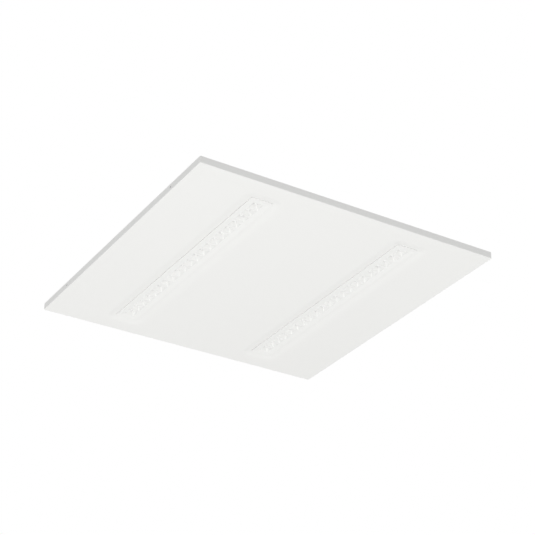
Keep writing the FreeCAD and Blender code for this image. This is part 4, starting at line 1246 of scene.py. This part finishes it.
@dataclass
class LightSource(Strip):
    """The optics behind one louvre: lens bar, diodes, boards and their plugs."""

    dome: float = 3.5
    dome_steps: int = 8
    plate: float = 1.5
    bar_corner: float = 1.2
    bar_ease: float = 0.3
    rib: float = 1.5
    rib_ease: float = 0.2
    tile_slack: float = 0.1
    chip: float = 1.5
    chip_height: float = 0.7
    chip_ease: float = 0.1
    window: float = 1.15
    window_sink: float = 0.12
    corners: Sequence[float] = (0.2, 0.15, 0.35, 0.3)

    def lens_bar(self) -> None:
        """Build the lens bar: a plate with a dome at each diode and a rib along each edge."""
        node = f"lens_bar_{self.side}"
        low, high = box_of(node)
        plate = low.z + self.dome
        half = ((high.x - low.x) / 2, (high.y - low.y) / 2)
        eased = (half[0] - self.bar_ease, half[1] - self.bar_ease)
        room = half[0] - self.rib
        profile = ((eased, plate), (half, plate + self.bar_ease), (half, high.z - self.bar_ease),
                   (eased, high.z), ((room + self.rib_ease, eased[1]), high.z),
                   ((room, eased[1]), high.z - self.rib_ease), ((room, eased[1]), plate + self.plate))
        surface = Surface()
        rings = [surface.level(rounded(size, self.bar_corner, steps=4), height, (self.middle, 0.0))
                 for size, height in profile]
        surface.skin(rings)
        surface.fill(rings[-1])
        mouths = []
        for line in self.lines:
            loops = [surface.level(circle(self.dome * math.cos(angle)), plate - self.dome * math.sin(angle),
                                   (self.middle, line))
                     for angle in [0.0] + arc(self.dome_steps)[:-1]]
            surface.skin(loops)
            surface.fill(loops[-1])
            mouths.append(loops[0])
        edge = surface.tiles(room, self.lines, self.pitch - self.tile_slack, plate, self.middle, mouths)
        surface.fill(rings[0], edge)
        Piece(f"{node}_dressed", "light", (LENS_ACRYLIC,), (node,), crease=30.0).make(surface)

    def diodes(self) -> None:
        """Build the diodes: a pale case with a square window of phosphor."""
        node = f"diodes_{self.side}"
        top = box_of(node)[1].z
        face = top - self.chip_height
        case_corner, face_corner, window_corner, fill_corner = self.corners
        surface = Surface()
        for line in self.lines:
            def ring(half: float, corner: float, height: float) -> Loop:
                """A square loop round the diode's middle."""
                return surface.level(rounded((half, half), corner, steps=3), height, (self.middle, line))

            case = [ring(self.chip, case_corner, top), ring(self.chip, case_corner, face + self.chip_ease),
                    ring(self.chip - self.chip_ease, face_corner, face),
                    ring(self.window, window_corner, face)]
            fill = [case[-1], ring(self.window - self.window_sink, fill_corner, face + self.window_sink)]
            surface.fill(case[0])
            surface.skin(case)
            surface.skin(fill, shade=1)
            surface.fill(fill[-1], shade=1)
        Piece(f"{node}_dressed", "light", (CONNECTOR, PHOSPHOR), (node,)).make(surface)

    def build(self) -> None:
        """Build the strip's optics and finish its boards and plug."""
        self.lens_bar()
        self.diodes()
        for place in ("front", "middle", "rear"):
            ease(f"led_board_{self.side}_{place}", "light", BOARD_MASK, width=0.12)
        ease(f"lead_plug_{self.side}", "light", CONNECTOR, width=0.35)


# ---------------------------------------------------------------------------------------------
# Fasteners
# ---------------------------------------------------------------------------------------------

class Drive(Enum):
    """What the head of a fastener has for its tool."""

    CROSS = "cross"
    NONE = "none"


@dataclass
class Fastener:
    """A screw or rivet with a crowned head, on a shank."""

    node: str
    head_radius: float
    head_height: float
    shank_radius: float
    drive: Drive = Drive.CROSS
    head_down: bool = False
    crown: float = 0.55
    crown_flat: float = 0.55
    recess_reach: float = 0.46
    recess_taper: float = 0.8
    recess_floor: float = 0.42
    blade: float = 0.24
    turn: float = 37.0
    segments: int = 32

    def recess(self, reach: float) -> list[Plan]:
        """Draw the cross recess.

        Args:
            reach: how far it reaches from the middle.

        Returns:
            Its outline, anticlockwise.
        """
        thin = reach * self.blade
        return [(reach, -thin), (reach, thin), (thin, thin), (thin, reach), (-thin, reach), (-thin, thin),
                (-reach, thin), (-reach, -thin), (-thin, -thin), (-thin, -reach), (thin, -reach),
                (thin, -thin)]

    def shape(self, surface: Surface, length: float) -> None:
        """Add one fastener that stands on the origin, its head up.

        Args:
            surface: the surface it is added to.
            length: its whole length.
        """
        rise = self.head_height * (1 - self.crown)
        rings = [(self.shank_radius, self.head_height - length), (self.shank_radius, 0.0),
                 (self.head_radius, 0.0), (self.head_radius, rise)]
        for angle in arc(5):
            rings.append((self.head_radius * (self.crown_flat + (1 - self.crown_flat) * math.cos(angle)),
                          rise + (self.head_height - rise) * math.sin(angle)))
        loops = [surface.level(circle(radius, self.segments), height) for radius, height in rings]
        surface.fill(loops[0])
        surface.skin(loops)
        if self.drive is Drive.NONE:
            surface.fill(loops[-1])
            return
        reach = self.head_radius * self.recess_reach
        mouth = surface.level(self.recess(reach), self.head_height)
        floor = surface.level(self.recess(reach * self.recess_taper), self.head_height * self.recess_floor)
        surface.fill(loops[-1], mouth)
        surface.skin([mouth, floor])
        surface.fill(floor)

    def build(self) -> None:
        """Build every fastener of the node, each where its solid is."""
        surface = Surface()
        for index, (low, high) in enumerate(solids_of(self.node)):
            since = surface.count()
            self.shape(surface, high.z - low.z)
            middle = (low + high) / 2
            seat = low.z + self.head_height if self.head_down else high.z - self.head_height
            turn = Matrix.Rotation(math.radians(self.turn * index), 4, "Z")
            if self.head_down:
                turn = Matrix.Rotation(math.pi, 4, "X") @ turn
            surface.moved(Matrix.Translation(Vector((middle.x, middle.y, seat)) * MM) @ turn, since)
        Piece(f"{self.node}_dressed", "light", (SCREW_STEEL,), (self.node,), crease=35.0).make(surface)


@dataclass
class Thumbscrew:
    """A captive thumbscrew of the gear cover: knurled head, collar, slot and shank."""

    end: str
    ridges: int = 36
    ridge_depth: float = 0.28
    ridge_shape: Sequence[float] = (0.0, 0.5, 1.0, 0.5)
    head_radius: float = 6.0
    head_height: float = 7.0
    collar_radius: float = 3.4
    collar_height: float = 1.5
    shank_radius: float = 2.0
    tip_ease: float = 0.4
    edge_ease: float = 0.7
    top_ease: float = 0.6
    knurl_run: float = 0.2
    slot_half: Plan = (4.2, 0.7)
    slot_corner: float = 0.3
    slot_depth: float = 1.6

    def turned(self, radius: float, knurled: float = 0.0) -> list[Plan]:
        """Draw the plan of one ring.

        Args:
            radius: its radius.
            knurled: how deep the knurl cuts into it.

        Returns:
            Its points, as many for each ring.
        """
        rise = len(self.ridge_shape)
        points = []
        for index, (x, y) in enumerate(circle(1.0, self.ridges * rise)):
            reach = radius - knurled * self.ridge_shape[index % rise]
            points.append((x * reach, y * reach))
        return points

    def build(self) -> None:
        """Build the thumbscrew where its solid is."""
        node = f"cover_thumbscrew_{self.end}"
        low, high = box_of(node)
        middle = ((low.x + high.x) / 2, (low.y + high.y) / 2)
        top, base = high.z, high.z - self.head_height
        seat = base - self.collar_height
        start, end = base + self.edge_ease, top - self.edge_ease
        rings = [(self.shank_radius - self.tip_ease, low.z, 0.0),
                 (self.shank_radius, low.z + self.tip_ease, 0.0), (self.shank_radius, seat, 0.0),
                 (self.collar_radius, seat, 0.0), (self.collar_radius, base, 0.0),
                 (self.head_radius - self.edge_ease, base, 0.0), (self.head_radius, start, 0.0),
                 (self.head_radius, start + self.knurl_run, self.ridge_depth),
                 (self.head_radius, end - self.knurl_run, self.ridge_depth),
                 (self.head_radius, end, 0.0), (self.head_radius - self.top_ease, top, 0.0)]
        surface = Surface()
        loops = [surface.level(self.turned(radius, knurl), height, middle)
                 for radius, height, knurl in rings]
        surface.fill(loops[0])
        surface.skin(loops)
        slot = rounded(self.slot_half, self.slot_corner, steps=2)
        mouth = surface.level(slot, top, middle)
        floor = surface.level(slot, top - self.slot_depth, middle)
        surface.fill(loops[-1], mouth)
        surface.skin([mouth, floor])
        surface.fill(floor)
        Piece(f"{node}_dressed", f"thumbscrew_{self.end}", (THUMB_STEEL,), (node,),
              crease=24.0).make(surface)


# ---------------------------------------------------------------------------------------------
# Sheet metal behind the face
# ---------------------------------------------------------------------------------------------

@dataclass
class Pressing:
    """Marks pressed into sheet metal: spot welds, stiffening beads and knockouts.

    Attributes:
        name: the piece's name.
        body: the body it rides on.
        finish: the finish of the sheet it is pressed into.
        surface: where the marks are added.
        root: how far a mark reaches into the sheet.
        weld_radius: the radius of a spot weld.
        crater: the share of that radius and the rise of each ring of a spot weld.
        knockout_radius: the radius of a knockout's ring.
        knockout_ring: how much wider each ring of a knockout is, and its rise.
        bead_height: how far a bead stands up.
        bead_round: a bead's corner radius, as a share of its half width.
        bead_slope: how much of a bead's half width its side takes.
    """

    name: str
    body: str
    finish: Finish
    surface: Surface = field(default_factory=Surface)
    root: float = 0.1
    weld_radius: float = 2.4
    crater: Sequence[Plan] = ((1.0, 0.0), (0.86, 0.12), (0.7, 0.14), (0.55, 0.03), (0.2, 0.02))
    knockout_radius: float = 8.0
    knockout_ring: Sequence[Plan] = ((0.7, 0.0), (0.4, 0.3), (-0.2, 0.35), (-0.6, 0.04), (-4.0, 0.04))
    bead_height: float = 1.2
    bead_round: float = 0.96
    bead_slope: float = 0.85

    def close(self, loops: Sequence[Loop]) -> None:
        """Join the loops of one mark.

        Args:
            loops: the loops, from the mark's root in the sheet to its middle.
        """
        self.surface.fill(loops[0])
        self.surface.skin(loops)
        self.surface.fill(loops[-1])

    def weld(self, place: Point) -> None:
        """Press one spot weld, a shallow crater, into a flat that looks up.

        Args:
            place: its middle on the flat.
        """
        x, y, level = place
        self.close([self.surface.level(circle(self.weld_radius * share, count=20), level + rise, (x, y))
                    for share, rise in ((1.0, -self.root), *self.crater)])

    def knockout(self, place: Point, toward: int) -> None:
        """Press one knockout into a wall.

        Args:
            place: its middle on the wall.
            toward: the way the wall looks along Y.
        """
        x, line, level = place
        rings = ((self.knockout_ring[0][0], -self.root), *self.knockout_ring)
        self.close([self.surface.loop((x + across, line + toward * rise, level + up)
                                      for across, up in circle(self.knockout_radius + wider, count=40))
                    for wider, rise in rings])

    def bead(self, middle: Plan, half: Plan, level: float) -> None:
        """Press one long stiffening bead with round ends.

        Args:
            middle: its middle in plan.
            half: its half sizes.
            level: the level of the flat.
        """
        width = min(half)
        loops = [self.surface.level(rounded(half, self.bead_round * width, steps=8),
                                    level - self.root, middle)]
        for share in shares(6):
            inset = width * self.bead_slope * share
            size = (half[0] - inset, half[1] - inset)
            plan = rounded(size, self.bead_round * min(size), steps=8)
            loops.append(self.surface.level(plan, level + self.bead_height * smooth(share), middle))
        self.close(loops)

    def build(self) -> None:
        """Make the marks one piece."""
        Piece(self.name, self.body, (self.finish,)).make(self.surface)


@dataclass
class BackShell:
    """What stands on the back of the face: housings, stiffeners, brackets and gear tray."""

    housing_flat: float = 15.3
    flange_top: float = 1.6
    flange_half: Plan = (50.8, 277.3)
    side_welds: int = 6
    side_weld_pitch: float = 92.0
    end_weld_pitch: float = 48.0
    beads: int = 3
    bead_pitch: Plan = (40.0, 132.0)
    bead_half: Plan = (5.0, 52.0)
    knockout_pitch: float = 64.0
    knockout_level: float = 19.0

    def housings(self) -> None:
        """Dress both optic housings, with their welds and beads."""
        marks = Pressing("housing_pressings", "light", HOUSING_PAINT)
        for side, sign in SIDES.items():
            ease(f"optic_housing_{side}", "light", HOUSING_PAINT, width=0.3, segments=3)
            middle = sign * STRIP_OFFSET
            for line in spread(self.side_welds, self.side_weld_pitch):
                for reach in (-self.flange_half[0], self.flange_half[0]):
                    marks.weld((middle + reach, line, self.flange_top))
            for reach in (-self.flange_half[1], self.flange_half[1]):
                for across in spread(2, self.end_weld_pitch):
                    marks.weld((middle + across, reach, self.flange_top))
            for across in spread(2, self.bead_pitch[0]):
                for line in spread(self.beads, self.bead_pitch[1]):
                    marks.bead((middle + across, line), self.bead_half, self.housing_flat)
        marks.build()

    def frame_parts(self) -> None:
        """Dress the stiffeners, the suspension brackets and the clip brackets."""
        for end in ENDS:
            ease(f"cross_stiffener_{end}", "light", GALVANISED, width=0.25, segments=3)
        ease("suspension_brackets", "light", GALVANISED, width=0.25, segments=3)
        ease("clip_brackets", "light", GALVANISED, width=0.2)
        Fastener("bracket_rivets", 3.0, 1.1, 1.6, Drive.NONE, crown=0.9).build()

    def tray(self) -> None:
        """Dress the gear tray, and add the knockouts of its ends."""
        ease("gear_tray", "light", HOUSING_PAINT, width=0.22)
        marks = Pressing("tray_pressings", "light", HOUSING_PAINT)
        for toward, corner in zip((-1, 1), box_of("gear_tray")):
            for across in spread(2, self.knockout_pitch):
                marks.knockout((across, corner.y, self.knockout_level), toward)
        marks.build()

    def build(self) -> None:
        """Build the back of the light."""
        self.housings()
        self.frame_parts()
        self.tray()


@dataclass
class GearCover:
    """The hinged cover of the gear tray, its hinge pins and its thumbscrews."""

    top: float = 41.2
    bead_half: Plan = (4.5, 88.0)
    bead_places: tuple[float, ...] = (-30.0, 0.0, 26.0)

    def build(self) -> None:
        """Dress the cover and everything it carries."""
        ease("gear_cover", "cover", HOUSING_PAINT, width=0.22)
        marks = Pressing("cover_pressings", "cover", HOUSING_PAINT)
        for across in self.bead_places:
            marks.bead((across, 0.0), self.bead_half, self.top)
        marks.build()
        ease("cover_hinge_pins", "light", SCREW_STEEL, width=0.2)
        for end in ENDS:
            Thumbscrew(end).build()


@dataclass
class GridClips:
    """The four fold-up clips that hold the light on the ceiling grid."""

    clip_ease: float = 0.25
    pin_ease: float = 0.2

    def build(self) -> None:
        """Dress the clips and their pins."""
        for end in ENDS:
            for side in SIDES:
                ease(f"grid_clip_{end}_{side}", f"clip_{end}_{side}", GALVANISED, self.clip_ease,
                     segments=3)
        ease("clip_pins", "light", SCREW_STEEL, self.pin_ease)


# ---------------------------------------------------------------------------------------------
# Gear
# ---------------------------------------------------------------------------------------------

@dataclass
class PushTerminal:
    """A driver terminal: a block with round wire entries and a push button for each.

    Attributes:
        node: the solid it stands for.
        toward: the way its entries look along Y.
        entries: the entries' places across it.
        level: the entries' level.
        radius: the entries' radius.
        buttons: the buttons' level.
    """

    node: str
    toward: int
    entries: Sequence[float]
    level: float
    radius: float
    buttons: float
    depth: float = 3.0
    edge: float = 0.5
    case_corner: float = 0.8
    flare: float = 0.5
    flare_depth: float = 0.6
    button_half: float = 1.7
    button_corner: float = 0.3
    button_gap: float = 0.25
    button_sink: float = 0.15
    pocket_depth: float = 0.8

    def build(self) -> None:
        """Build the terminal where its solid is."""
        low, high = box_of(self.node)
        middle = ((low.x + high.x) / 2, (low.z + high.z) / 2)
        half = ((high.x - low.x) / 2, (high.z - low.z) / 2)
        front, back = (low.y, high.y) if self.toward < 0 else (high.y, low.y)
        surface = Surface()

        def ring(plan: Iterable[Plan], depth: float, centre: Plan) -> Loop:
            """A loop at a depth behind the front."""
            line = front - depth * self.toward
            return surface.loop((x + centre[0], line, z + centre[1]) for x, z in plan)

        case = rounded(half, self.case_corner, steps=4)
        eased = rounded((half[0] - self.edge, half[1] - self.edge), self.edge, steps=4)
        outer = [ring(case, abs(front - back), middle), ring(case, self.edge, middle),
                 ring(eased, 0.0, middle)]
        surface.fill(outer[0])
        surface.skin(outer)
        wide, bore = circle(self.radius + self.flare), circle(self.radius)
        inset = self.button_half - self.button_gap
        pocket = rounded((self.button_half, self.button_half), self.button_corner, steps=2)
        button = rounded((inset, inset), self.button_corner, steps=2)
        holes = []
        for x in self.entries:
            entry = [ring(plan, depth, (x, self.level)) for plan, depth in
                     ((wide, 0.0), (bore, self.flare_depth), (bore, self.depth))]
            surface.skin(entry)
            surface.fill(entry[-1])
            place = (x, self.buttons)
            sides = [ring(pocket, depth, place) for depth in (0.0, self.pocket_depth)]
            knob = [ring(button, depth, place) for depth in (self.pocket_depth, self.button_sink)]
            surface.skin(sides)
            surface.fill(sides[-1], knob[0])
            surface.skin(knob, shade=1)
            surface.fill(knob[-1], shade=1)
            holes += [entry[0], sides[0]]
        surface.fill(outer[-1], *holes)
        Piece(f"{self.node}_dressed", "light", (CONNECTOR, BUTTON), (self.node,)).make(surface)


@dataclass
class Gear:
    """What the gear tray holds: driver, terminal block, levers, wires, leads and cable entry.

    Attributes:
        lead_level: the leads' level.
        screw: a large screw's head radius, head height and shank radius.
        lid_half: the driver lid's half sizes.
        lid_rings: the inset, corner radius and rise of each ring of the lid.
    """

    lead_level: float = 9.4
    screw: Point = (3.6, 2.4, 2.0)
    lid_half: Plan = (17.0, 58.0)
    lid_rings: Sequence[Point] = ((0.0, 4.0, -0.1), (0.0, 4.0, 0.4), (0.3, 3.7, 0.7), (2.0, 2.6, 0.7),
                                  (2.4, 2.3, 0.35))

    def driver(self) -> None:
        """Dress the driver, its lid and its terminals."""
        ease("driver_case", "light", DRIVER_SHELL, width=0.4, segments=3)
        low, high = box_of("driver_case")
        surface = Surface()
        loops = []
        for inset, corner, rise in self.lid_rings:
            plan = rounded((self.lid_half[0] - inset, self.lid_half[1] - inset), corner)
            loops.append(surface.level(plan, high.z + rise, (0.0, (low.y + high.y) / 2)))
        surface.skin(loops)
        surface.fill(loops[-1])
        Piece("driver_lid", "light", (DRIVER_SHELL,)).make(surface)
        PushTerminal("driver_input_terminal", toward=-1, entries=(-7.0, 0.0, 7.0), level=WIRE_LEVEL,
                     radius=1.45, buttons=14.5).build()
        PushTerminal("driver_output_terminal", toward=1, entries=(-8.0, 8.0), level=self.lead_level,
                     radius=2.1, buttons=16.5).build()
        Fastener("driver_screws", *self.screw).build()

    def terminals(self) -> None:
        """Dress the terminal block, its levers and the earth post."""
        ease("terminal_block", "light", TERMINAL, width=0.3)
        for pole in ("live", "neutral", "earth"):
            ease(f"terminal_lever_{pole}", f"lever_{pole}", LEVER, width=0.3)
        ease("lever_pin", "light", SCREW_STEEL, width=0.1)
        ease("earth_post", "light", BRASS, width=0.2)
        Fastener("earth_screw", *self.screw).build()

    def wiring(self) -> None:
        """Finish the wires, the leads and what holds them."""
        keep("wire_live", BROWN)
        keep("wire_neutral", BLUE)
        keep("wire_earth", EARTH)
        for side in SIDES:
            keep(f"output_lead_{side}", LEAD)
        ease("lead_grommets", "light", RUBBER, width=0.4, segments=3)
        ease("inlet_grommet", "light", RUBBER, width=0.5, segments=3)
        ease("cable_clamp_base", "light", CLAMP, width=0.4)
        ease("cable_clamp_bar", "light", CLAMP, width=0.4)
        Fastener("clamp_screws", *self.screw).build()
        ease("board_links", "light", CONNECTOR, width=0.25)
        Fastener("board_screws", 2.8, 1.8, 1.5, head_down=True).build()

    def build(self) -> None:
        """Build the gear."""
        self.driver()
        self.terminals()
        self.wiring()


# ---------------------------------------------------------------------------------------------
# Studio
# ---------------------------------------------------------------------------------------------

@dataclass(frozen=True)
class Lamp:
    """A square soft light that looks at the object's middle.

    Attributes:
        name: its name.
        place: where it stands, in metres.
        side: its size in metres.
        power: its power in watts.
    """

    name: str
    place: Point
    side: float
    power: float

    def build(self) -> None:
        """Set the lamp up."""
        light = bpy.data.lights.new(self.name, "AREA")
        light.shape = "SQUARE"
        light.size = self.side
        light.energy = self.power
        made = placed(self.name, light)
        made.location = self.place
        made.rotation_euler = (-Vector(self.place)).to_track_quat("-Z", "Y").to_euler()
        made.visible_camera = False


@dataclass
class Studio:
    """A pale floor far below that turns white in the distance, an even sky and two soft lamps."""

    floor_level: float = -5.0
    floor_radius: float = 40.0
    floor_thickness: float = 20.0
    floor_glow: float = 0.12
    floor_colour: Colour = linear(240, 240, 238)
    cloud_colour: Colour = linear(236, 236, 234)
    cloud_size: float = 900.0
    horizon: Plan = (10.0, 26.0)
    sky: float = 0.64
    lamps: Sequence[Lamp] = (Lamp("lamp_below", (-1.0, -1.05, -4.7), 3.3, 152.0),
                             Lamp("lamp_above", (0.6, 0.5, 2.6), 1.8, 26.0))

    def floor(self) -> None:
        """Lay the floor, a round slab with a worn satin surface. The camera sees it a little brighter."""
        surface = Surface()
        level = self.floor_level / MM
        plan = circle(self.floor_radius / MM, count=96)
        loops = [surface.level(plan, level), surface.level(plan, level - self.floor_thickness)]
        surface.fill(loops[0])
        surface.skin(loops)
        data = surface.finished("floor")
        made = placed("floor", data)
        material = bpy.data.materials.new("floor")
        graph = Graph(material)
        place = graph.place()
        clouds = graph.noise(place, self.cloud_size)
        away = place.length().stretched(*self.horizon)
        path = graph.node("ShaderNodeLightPath", {}, {})
        seen = Value(graph, path.outputs["Is Camera Ray"])
        paint = graph.mix(self.floor_colour, self.cloud_colour, clouds)
        glow = seen * (self.floor_glow + (1 - self.floor_glow) * away)
        graph.surface({"Base Color": graph.mix(paint, BLACK, seen * away),
                       "Roughness": 0.7 + 0.1 * clouds,
                       "Emission Color": graph.mix(BLACK, WHITE, glow),
                       "Emission Strength": 1.0})
        data.materials.append(material)

    def sky_light(self) -> None:
        """Light everything evenly, and show plain white to the camera, gloss and glass."""
        world = bpy.data.worlds.new("sky")
        bpy.context.scene.world = world
        graph = Graph(world)
        path = graph.node("ShaderNodeLightPath", {}, {})
        rays = [Value(graph, path.outputs[name]) for name in
                ("Is Camera Ray", "Is Glossy Ray", "Is Transmission Ray")]
        shown = rays[0].maths("MAXIMUM", rays[0], rays[0].maths("MAXIMUM", rays[1], rays[2]))
        strength = self.sky + (1 - self.sky) * shown
        sky = graph.node("ShaderNodeBackground", {}, {"Color": WHITE, "Strength": strength})
        graph.output(sky, "ShaderNodeOutputWorld")

    def build(self) -> None:
        """Set the studio up."""
        self.floor()
        self.sky_light()
        for lamp in self.lamps:
            lamp.build()
        bpy.context.scene.view_settings.view_transform = "Standard"


@dataclass
class PhotoCamera:
    """The camera where the photograph was taken: below the face and to one side."""

    place: Point = (-1.29533, -2.10310, -1.34531)
    forward: Point = (0.46112, 0.74091, 0.48829)
    up: Point = (-0.25581, -0.41593, 0.87268)
    lens: float = 103.54
    sensor: float = 36.0

    def build(self) -> None:
        """Set the camera up and make it the scene's."""
        data = bpy.data.cameras.new("camera")
        data.lens = self.lens
        data.sensor_width = self.sensor
        made = placed("camera", data)
        back = -Vector(self.forward).normalized()
        right = Vector(self.up).cross(back).normalized()
        upward = back.cross(right)
        turn = Matrix((right, upward, back)).transposed().to_4x4()
        made.matrix_world = Matrix.Translation(self.place) @ turn
        bpy.context.scene.camera = made


# ---------------------------------------------------------------------------------------------
# The whole light
# ---------------------------------------------------------------------------------------------


def main() -> None:
    """Build the studio and the light, piece by piece."""
    logging.basicConfig(level=logging.INFO, format="%(name)s: %(message)s")
    PhotoCamera().build()
    Studio().build()
    FacePanel().build()
    for side in SIDES:
        Louvre(side).build()
        LightSource(side).build()
    BackShell().build()
    GearCover().build()
    GridClips().build()
    Gear().build()
    LOG.info("the light is finished")


if __name__ == "__main__":
    main()
